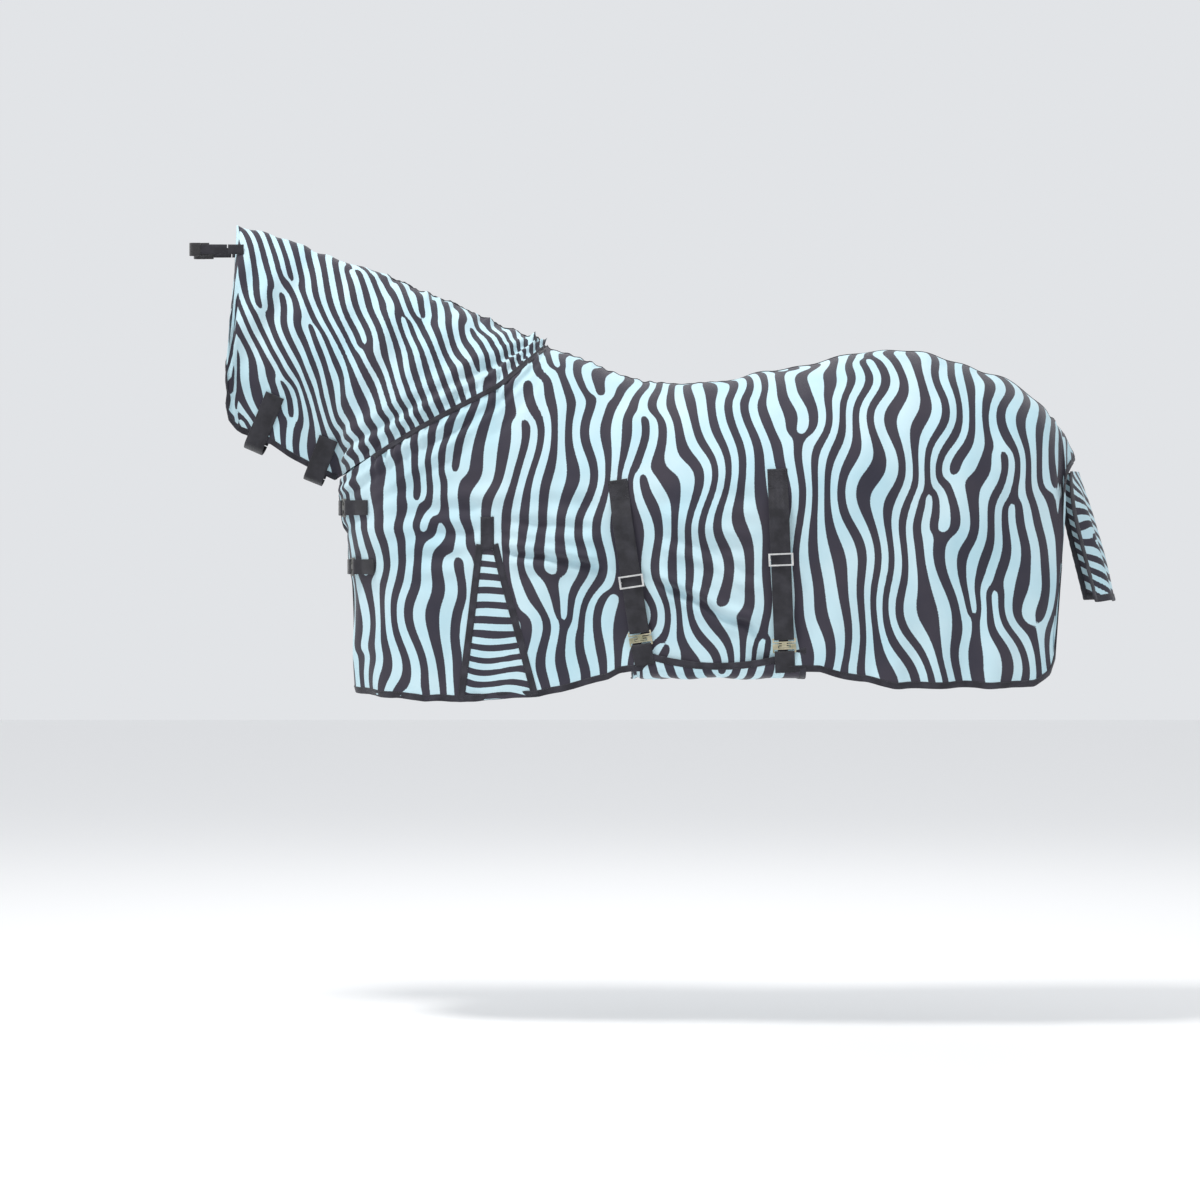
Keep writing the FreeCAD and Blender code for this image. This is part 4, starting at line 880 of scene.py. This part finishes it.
seams = []
BINDING = 0.016
for side, sign in (("left", -1), ("right", 1)):
    grid = body_cloth[side]
    normals = outward(grid, sign)
    edge, inside = inner_line(grid, "low", BINDING)
    hem = binding(f"hem_binding_cloth_{side}", edge, inside, normals[:, -2], "sheet")
    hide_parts(f"hem_binding_{side}")
    edge, inside = inner_line(grid, "front", BINDING)
    front = binding(f"front_binding_cloth_{side}", edge, inside, normals[1], "sheet")
    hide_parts(f"chest_binding_{side}")
    edge, inside = inner_line(grid, "rear", BINDING)
    rear = binding(f"rear_top_binding_{side}", edge, inside, normals[-2], "sheet", pucker=0.3)
    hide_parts(f"rear_binding_{side}")
    grid = neck_cloth[side]
    normals = outward(grid, sign)
    edge, inside = inner_line(grid, "front", BINDING)
    piece = binding(f"neck_front_binding_cloth_{side}", edge, inside, normals[1], "sheet")
    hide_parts(f"neck_front_binding_{side}")
    free = grid[:, grid.shape[1] // 2, 0] < -0.722
    edge, inside = inner_line(grid, "low", BINDING)
    piece = binding(f"neck_lower_binding_cloth_{side}", edge[free], inside[free], normals[free, -2], "sheet")
    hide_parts(f"neck_lower_binding_{side}")
print("bindings", len(seams))

# %% [markdown]
# ## Bindings on the two flaps
# The belly flap is bound along its two short edges and its upper edge, the tail flap down both sides and
# along the foot. Where the flap meets the right hem it is sewn flat, so there is no binding.

# %% Flap bindings
normals = outward(flap_net)
normals *= np.sign((normals * (flap_net - np.array([0.25, 0, -0.6]))).sum(2, keepdims=True))
flap_trims = []
for edge_name, outside in (("top", normals[:, 1]), ("front", normals[1]), ("rear", normals[-2])):
    edge, inside = inner_line(flap_cloth, edge_name, BINDING)
    flap_trims.append(binding(f"belly_flap_binding_{edge_name}", edge, inside, outside, "belly_flap", 0.0012))
    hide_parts("belly_flap_binding")
normals = outward(tail_net)
normals *= np.sign(normals[..., :1])
tail_trims = []
for edge_name, outside in (("low", normals[:, -2]), ("front", normals[1]), ("rear", normals[-2])):
    edge, inside = inner_line(tail_cloth, edge_name, BINDING)
    tail_trims.append(binding(f"tail_flap_binding_{edge_name}", edge, inside, outside, "tail_flap", 0.0012))
    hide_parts("tail_flap_binding")
print("flap bindings", len(flap_trims), "tail bindings", len(tail_trims))

# %% [markdown]
# ## Tapes that lie on the cloth
# A seam that carries load has a tape over it, sewn down both its edges: beside the gusset, along the
# neck seam and down the spine. A tape has to rise and fall with the folds under it, so each one is laid
# by looking up the folded cloth below its two edges and its middle.


# %% Lay a tape on the cloth
CLOTH_TREES = {side: [cloth_tree(panels[name]) for name in (side, "neck_" + side, "gusset_" + side)]
              for side in ("left", "right")}
TAPE_RINGS = [(-1.0, 0.25), (-0.97, 0.85), (-0.5, 1.0), (0, 1.0), (0.5, 1.0), (0.97, 0.85), (1.0, 0.25)]


def cloth_spot(trees, x, z, side):
    """The outermost cloth at one place in the side view."""
    spots = []
    for tree in trees:
        hit, normal = tree.ray_cast(Vector((x, side * 1.2, z)), Vector((0, -side, 0)))[:2]
        if hit is not None:
            spots.append((abs(hit.y), tuple(hit), tuple(normal * (1 if normal.y * side > 0 else -1))))
    if not spots:
        return None, None
    _, hit, normal = max(spots)
    return np.array(hit), np.array(normal)


def smooth_line(points, rounds):
    points = np.array(points, float)
    for _ in range(rounds):
        points[1:-1] = (points[:-2] + 2 * points[1:-1] + points[2:]) / 4
    return points


def laid_tape(name, path, width, side, body="sheet", thick=0.0022, material=None,
              step=0.006):
    """A flat tape along a path of (x, z) points in the side view."""
    path = np.array(path, float)
    lengths = run_lengths(path)
    marks = np.linspace(0, lengths[-1], max(3, int(lengths[-1] / step)))
    middle_line = np.column_stack([np.interp(marks, lengths, path[:, k]) for k in range(2)])
    run = np.gradient(middle_line, axis=0)
    run /= np.linalg.norm(run, axis=1, keepdims=True)
    square = np.column_stack([-run[:, 1], run[:, 0]])
    surface = [[], [], []]
    outs = []
    for k in range(len(marks)):
        hits = [cloth_spot(CLOTH_TREES["left" if side < 0 else "right"],
                           *(middle_line[k] + square[k] * width / 2 * s), side) for s in (-1, 0, 1)]
        if any(hit[0] is None for hit in hits):
            continue
        for row, hit in zip(surface, hits):
            row.append(hit[0])
        outs.append(hits[1][1])
    surface = [smooth_line(row, 1) for row in surface]
    outs = smooth_line(outs, 3)
    outs /= np.linalg.norm(outs, axis=1, keepdims=True)
    rings = []
    for low, centre, high, out in zip(*surface, outs):
        across_cloth = [centre + (centre - low) * s if s < 0 else centre + (high - centre) * s
                        for s, t in TAPE_RINGS]
        upper = [spot + out * thick * t for spot, (s, t) in zip(across_cloth, TAPE_RINGS)]
        lower = [spot - out * thick * 0.6 for spot in across_cloth[::-1]]
        rings.append(upper + lower)
    across = [s * width / 2 for s, t in TAPE_RINGS] + [s * width / 2 for s, t in TAPE_RINGS[::-1]]
    piece = strip_piece(name, rings, run_lengths(surface[1]), across, body, material or TAPE)
    for s in (-0.82, 0.82):
        rows = np.array([centre + ((centre - low) * s if s < 0 else (high - centre) * s) + out * thick
                         for low, centre, high, out in zip(*surface, outs)])
        seams.append((piece, rows, outs, body))
    return piece


GUSSET_TAPE, SEAM_TAPE = 0.018, 0.013
TAPE_TOP = -0.43
tape_count = 0
for side, sign in (("left", -1), ("right", 1)):
    low_front, low_back = hem_height(gusset_front(-0.8)), hem_height(gusset_back(-0.8))
    front_path = [(gusset_front(z) - 0.001, z) for z in (TAPE_TOP, -0.6, low_front + 0.006)]
    front_tape = laid_tape(f"gusset_tape_front_{side}", front_path, GUSSET_TAPE, sign)
    rear_path = [(gusset_back(z) + 0.001, z) for z in (TAPE_TOP, -0.5, -0.61, low_back + 0.006)]
    rear_tape = laid_tape(f"gusset_tape_rear_{side}", rear_path, GUSSET_TAPE, sign)
    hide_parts(f"gusset_tapes_{side}")
    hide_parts(f"gusset_tapes_{side}")
    patch_low, patch_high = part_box(f"gusset_patch_{side}")
    patch_x = (patch_low.x + patch_high.x) / 2
    patch = laid_tape(f"gusset_patch_cloth_{side}", [(patch_x, patch_high.z), (patch_x, patch_low.z - 0.004)],
                      patch_high.x - patch_low.x, sign, thick=0.0026)
    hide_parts(f"gusset_patch_{side}")
    rim = body_cloth[side]
    seam_line = [(p[0] + 0.0045, p[2] - 0.003) for p in rim[rim[:, 0, 0] < -0.19][:, 0] if p[0] > -0.70]
    seam_line = smooth_line(seam_line, 6)
    seam_tape = laid_tape(f"neck_seam_tape_cloth_{side}", seam_line, SEAM_TAPE, sign, thick=0.0016)
    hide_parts(f"neck_seam_tape_{side}")
    tape_count += 4
print("tapes", tape_count)

# %% [markdown]
# ## The spine tape and the crest elastic
# These two lie across the back seam, half on each side, so they can't be looked up from the side. They
# are built straight from the first rows of the left and right nets, which meet at the seam.


# %% Tape over the back seam
def ridge_tape(name, left, right, reach, lift, body, material, pucker=0.0, pitch=0.02):
    left_edge, left_in = inner_line(left, "top", reach)
    right_edge, right_in = inner_line(right, "top", reach)
    ridge = (left_edge + right_edge) / 2
    lengths = run_lengths(ridge)
    rings = []
    for k in range(len(ridge)):
        wave = pucker * math.sin(2 * math.pi * lengths[k] / pitch + 2.0 * math.sin(lengths[k] * 21))
        top = ridge[k] + np.array([0, 0, lift + wave])
        left_side = left_in[k] + np.array([0, -0.3 * lift, lift + 0.5 * wave])
        right_side = right_in[k] + np.array([0, 0.3 * lift, lift + 0.5 * wave])
        under = np.array([0, 0, -1.6 * lift])
        rings.append([left_side, (left_side + top) / 2 + np.array([0, 0, 0.2 * lift]), top,
                      (right_side + top) / 2 + np.array([0, 0, 0.2 * lift]), right_side,
                      right_side + under, top + under, left_side + under])
    across = [-reach, -reach / 2, 0, reach / 2, reach, reach, 0, -reach]
    piece = strip_piece(name, rings, lengths, across, body, material)
    outs = np.repeat([[0, 0, 1.0]], len(rings), axis=0)
    for row in (0, 4):
        seams.append((piece, np.array([ring[row] for ring in rings]) * 0.8
                      + np.array([ring[2] for ring in rings]) * 0.2, outs, body))
    return piece


on_back = body_net[:, 0, 0] > -0.185
spine = ridge_tape("spine_tape_cloth", body_cloth["left"][on_back], body_cloth["right"][on_back],
                   0.008, 0.0016, "sheet", TAPE)
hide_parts("spine_tape")
on_crest = (neck_net[:, 0, 0] > -0.60) & (neck_net[:, 0, 0] < -0.195)
crest = ridge_tape("crest_elastic_gathered", neck_cloth["left"][on_crest], neck_cloth["right"][on_crest],
                   0.006, 0.0022, "sheet", ELASTIC, pucker=0.0016, pitch=0.017)
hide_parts("crest_elastic")
print("back tapes", len(spine.data.polygons), len(crest.data.polygons))

# %% [markdown]
# ## Webbing
# A strap is the one soft thing with a true cross-section: flat, with rounded woven edges. Each packed
# strap is a plain band, which holds the right path. The lesson finds the band's flat side, walks both
# its long edges to get the middle line, and weaves a new strap of even steps and soft edges round it.


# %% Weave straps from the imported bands
def band_line(name):
    """Middle line, thickness, width and width direction of a packed band."""
    bm = bmesh.new()
    bm.from_mesh(NODES[name].data)
    bmesh.ops.remove_doubles(bm, verts=bm.verts, dist=1e-5)
    bmesh.ops.dissolve_limit(bm, angle_limit=0.004, verts=bm.verts, edges=bm.edges)
    bm.faces.ensure_lookup_table()
    cap = max(bm.faces, key=lambda f: len(f.verts))
    ring = np.array([tuple(v.co) for v in cap.verts])
    axis = -np.array(cap.normal)
    others = np.array([tuple(v.co) for v in bm.verts])
    width = float(((others - ring[0]) @ axis).max())
    bm.free()
    count = len(ring)
    best = None
    for start in range(count):
        order = np.roll(ring, -start, axis=0)
        gaps = np.linalg.norm(order - order[::-1], axis=1)
        score = np.abs(gaps - np.median(gaps)).sum() if count % 2 == 0 else gaps.sum()
        if best is None or score < best[0]:
            best = (score, order, float(np.median(gaps)))
    half = count // 2
    line = (best[1][:half] + best[1][::-1][:half]) / 2
    return line, best[2], width, axis


WEB_RINGS = [(0.0, 0.0), (0.006, 0.62), (0.03, 1.0), (0.25, 1.0), (0.5, 1.0), (0.75, 1.0), (0.97, 1.0),
             (0.994, 0.62), (1.0, 0.0)]


def even_line(line, step):
    lengths = run_lengths(line)
    marks = np.linspace(0, lengths[-1], max(4, int(lengths[-1] / step)))
    return np.column_stack([np.interp(marks, lengths, line[:, k]) for k in range(3)])


def webbing(name, node, body, material=None):
    line, thick, width, axis = band_line(node)
    line = smooth_line(even_line(line, 0.0035), 2)
    run = np.gradient(line, axis=0)
    run /= np.linalg.norm(run, axis=1, keepdims=True)
    out = np.cross(run, axis)
    half = thick / 2
    rings = []
    for k in range(len(line)):
        start = line[k]
        upper = [start + axis * width * s + out[k] * half * t for s, t in WEB_RINGS]
        lower = [start + axis * width * s - out[k] * half * t for s, t in WEB_RINGS[-2:0:-1]]
        rings.append(upper + lower)
    across = [s * width for s, t in WEB_RINGS] + [s * width + 0.1 for s, t in WEB_RINGS[-2:0:-1]]
    piece = strip_piece(name, rings, run_lengths(line), across, body, material or WEBBING)
    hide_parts(node)
    return piece, line, out, axis, width, half


BODY_OF = {node: body for body, nodes in frame["record"]["behaviour"]["bodies"].items() for node in nodes}
webs = {}
for part in frame["record"]["subparts"]:
    node, slot = part["node"], part["material_slot"]
    if slot == "black_webbing" or node.startswith("poll_hook_tab"):
        pile = slot == "hook_and_loop"
        webs[node] = webbing(node + "_woven", node, BODY_OF[node], PILE if pile else WEBBING)
print("straps", {name: round(float(run_lengths(web[1])[-1]), 3) for name, web in webs.items()})

# %% [markdown]
# ## The loop patches under the neck straps
# Each neck strap closes on a patch of loop tape sewn to the left side of the neck. The patch is dull,
# crumbly pile, and only its rim shows round the strap.

# %% Loop patches
for level in ("front", "rear"):
    patch_low, patch_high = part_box(f"neck_loop_patch_{level}")
    strap_line = webs[f"neck_strap_{level}"][1]
    heights = strap_line[:, 2]
    on_left = strap_line[(strap_line[:, 1] < 0) & (heights > patch_low.z) & (heights < patch_high.z)]
    centre = (patch_low + patch_high) / 2
    slope = (on_left[-1] - on_left[0]) / np.linalg.norm(on_left[-1] - on_left[0])
    reach = 0.5 * (patch_high.z - patch_low.z) - 0.022
    path = [(centre.x + slope[0] / slope[2] * dz, centre.z + dz) for dz in (reach, -reach)]
    patch = laid_tape(f"neck_loop_patch_pile_{level}", path, 0.046, -1, material=PILE)
    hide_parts(f"neck_loop_patch_{level}")
    print(patch.name, "length", round(2 * reach, 3))

# %% [markdown]
# ## Stitches
# Every tape and binding is held by a lockstitch: a short dash of thread, a gap where the thread dives,
# then the next dash. Thousands of equal dashes are a repeat, so a node tree places them: it resamples a
# seam line at the stitch length and puts one short thread at each mark, turned along the seam. The
# result is made solid afterwards, so that each body's stitches are one plain mesh.


# %% Stitch tree
def stitch_tree():
    tree = bpy.data.node_groups.new("lockstitch", "GeometryNodeTree")
    face = tree.interface
    face.new_socket("Geometry", in_out="OUTPUT", socket_type="NodeSocketGeometry")
    face.new_socket("Geometry", in_out="INPUT", socket_type="NodeSocketGeometry")
    inputs = {}
    for label, kind in (("Stitch Pitch", "NodeSocketFloat"), ("Stitch Length", "NodeSocketFloat"),
                        ("Thread Radius", "NodeSocketFloat"), ("Thread", "NodeSocketMaterial")):
        inputs[label] = face.new_socket(label, in_out="INPUT", socket_type=kind).identifier
    nodes, links = tree.nodes, tree.links
    start, end = nodes.new("NodeGroupInput"), nodes.new("NodeGroupOutput")
    curve = nodes.new("GeometryNodeMeshToCurve")
    marks = nodes.new("GeometryNodeCurveToPoints")
    marks.mode = "LENGTH"
    dash = nodes.new("GeometryNodeMeshCylinder")
    dash.inputs["Vertices"].default_value = 5
    place = nodes.new("GeometryNodeInstanceOnPoints")
    solid = nodes.new("GeometryNodeRealizeInstances")
    paint = nodes.new("GeometryNodeSetMaterial")
    links.new(start.outputs["Geometry"], curve.inputs["Mesh"])
    links.new(curve.outputs["Curve"], marks.inputs["Curve"])
    links.new(start.outputs["Stitch Pitch"], marks.inputs["Length"])
    links.new(start.outputs["Thread Radius"], dash.inputs["Radius"])
    links.new(start.outputs["Stitch Length"], dash.inputs["Depth"])
    links.new(marks.outputs["Points"], place.inputs["Points"])
    links.new(dash.outputs["Mesh"], place.inputs["Instance"])
    turn = nodes.new("FunctionNodeAlignEulerToVector")
    turn.axis = "Z"
    links.new(marks.outputs["Tangent"], turn.inputs["Vector"])
    links.new(turn.outputs["Rotation"], place.inputs["Rotation"])
    links.new(place.outputs["Instances"], solid.inputs["Geometry"])
    links.new(solid.outputs["Geometry"], paint.inputs["Geometry"])
    links.new(start.outputs["Thread"], paint.inputs["Material"])
    links.new(paint.outputs["Geometry"], end.inputs["Geometry"])
    return tree, inputs


STITCH_TREE, STITCH_INPUTS = stitch_tree()


def sew(name, lines, body, pitch=0.006, length=0.0042, radius=0.0004):
    """One mesh of stitches along several lines of points."""
    points, edges = [], []
    for line in lines:
        start = len(points)
        points += [tuple(p) for p in line]
        edges += [(start + k, start + k + 1) for k in range(len(line) - 1)]
    guide_mesh = bpy.data.meshes.new(name + "_line")
    guide_mesh.from_pydata(points, edges, [])
    guide = bpy.data.objects.new(name + "_line", guide_mesh)
    bpy.context.scene.collection.objects.link(guide)
    modifier = guide.modifiers.new("lockstitch", "NODES")
    modifier.node_group = STITCH_TREE
    for label, value in (("Stitch Pitch", pitch), ("Stitch Length", length), ("Thread Radius", radius),
                         ("Thread", THREAD)):
        modifier[STITCH_INPUTS[label]] = value
    bpy.context.view_layer.update()
    mesh = bpy.data.meshes.new_from_object(guide.evaluated_get(bpy.context.evaluated_depsgraph_get()))
    bpy.data.objects.remove(guide)
    piece = bpy.data.objects.new(name, mesh)
    mesh.name = name
    mesh.shade_smooth()
    bpy.context.scene.collection.objects.link(piece)
    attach(piece, body)
    return piece


# %% [markdown]
# Straps that carry load are box-stitched at their sewn ends: a rectangle of thread with a cross in it.

# %% Sew everything
def box_stitch(web, end, inset=0.004, long=0.042):
    """A crossed box of stitches at one end of a strap, on its outer face."""
    _, line, out, axis, width, half = web
    lengths = run_lengths(line)
    first, last = (0.006, 0.006 + long) if end == 0 else (lengths[-1] - 0.006 - long, lengths[-1] - 0.006)

    def spot(at, share):
        middle_point = np.array([np.interp(at, lengths, line[:, k]) for k in range(3)])
        away = np.array([np.interp(at, lengths, out[:, k]) for k in range(3)])
        away *= 1 if away[1] * middle_point[1] > 0 or abs(middle_point[1]) < 0.01 else -1
        return middle_point + axis * (inset + (width - 2 * inset) * share) + away * (half + 0.0003)

    def path(a, b, steps=12):
        return np.array([spot(a[0] + (b[0] - a[0]) * k / steps, a[1] + (b[1] - a[1]) * k / steps)
                         for k in range(steps + 1)])
    corners = [(first, 0), (first, 1), (last, 1), (last, 0)]
    sides = [path(corners[k], corners[(k + 1) % 4]) for k in range(4)]
    return sides + [path(corners[0], corners[2]), path(corners[1], corners[3])]


by_body = {}
for piece, line, outs, body in seams:
    by_body.setdefault(body, []).append(line)
boxes = []
for node in ("surcingle_strap_front", "surcingle_strap_rear"):
    boxes += box_stitch(webs[node], 0 if webs[node][1][0][2] > webs[node][1][-1][2] else -1)
by_body.setdefault("sheet", [])
by_body["sheet"] += boxes
stitches = {}
for body, lines in by_body.items():
    stitches[body] = sew(f"stitches_{body}", lines, body)
print("stitch triangles", {name: len(piece.data.polygons) for name, piece in stitches.items()})

# %% [markdown]
# ## How big each panel was cut
# Each panel's flat size is worked out: its run along the sheet, its longest run down it, and the area
# of the cut. Rows of a net slant where an edge slants, so the shortest row is nearest to the panel's real
# run; a wedge or a flap with a narrow top takes its widest row instead. The bindings and tapes on a panel
# are listed with it.


def flat_size(grid, pick=min):
    """Flat width, length and area of the cloth in a net, before it was folded."""
    width = pick(run_lengths(row)[-1] for row in grid.transpose(1, 0, 2))
    length = max(run_lengths(column)[-1] for column in grid)
    first, second = np.diff(grid, axis=0)[:, :-1], np.diff(grid, axis=1)[:-1]
    return float(width), float(length), float(np.linalg.norm(np.cross(first, second), axis=2).sum())


def find(*names):
    return [bpy.data.objects[name] for name in names]


FLAT = {}
for side in ("left", "right"):
    width, length, area = flat_size(body_net)
    FLAT[f"body_cloth_{side}"] = (width, length, area * (1 - float(hole.mean())))
    FLAT[f"neck_cloth_{side}"] = flat_size(neck_net)
    FLAT[f"gusset_cloth_{side}"] = flat_size(gusset_net, max)
FLAT["belly_flap_cloth"] = flat_size(flap_net)
FLAT["tail_flap_cloth"] = flat_size(tail_net, max)
WITH = {}
for side in ("left", "right"):
    WITH[f"body_cloth_{side}"] = find(f"hem_binding_cloth_{side}", f"front_binding_cloth_{side}",
                                      f"rear_top_binding_{side}")
    WITH[f"neck_cloth_{side}"] = find(f"neck_front_binding_cloth_{side}", f"neck_lower_binding_cloth_{side}",
                                      f"neck_seam_tape_cloth_{side}")
    WITH[f"gusset_cloth_{side}"] = find(f"gusset_tape_front_{side}", f"gusset_tape_rear_{side}",
                                        f"gusset_patch_cloth_{side}")
WITH["body_cloth_left"].append(spine)
WITH["neck_cloth_left"].append(crest)
WITH["belly_flap_cloth"] = flap_trims
WITH["tail_flap_cloth"] = tail_trims
for name, (width, length, area) in FLAT.items():
    print(name, "flat", round(width, 3), "by", round(length, 3), "area", round(area, 3))
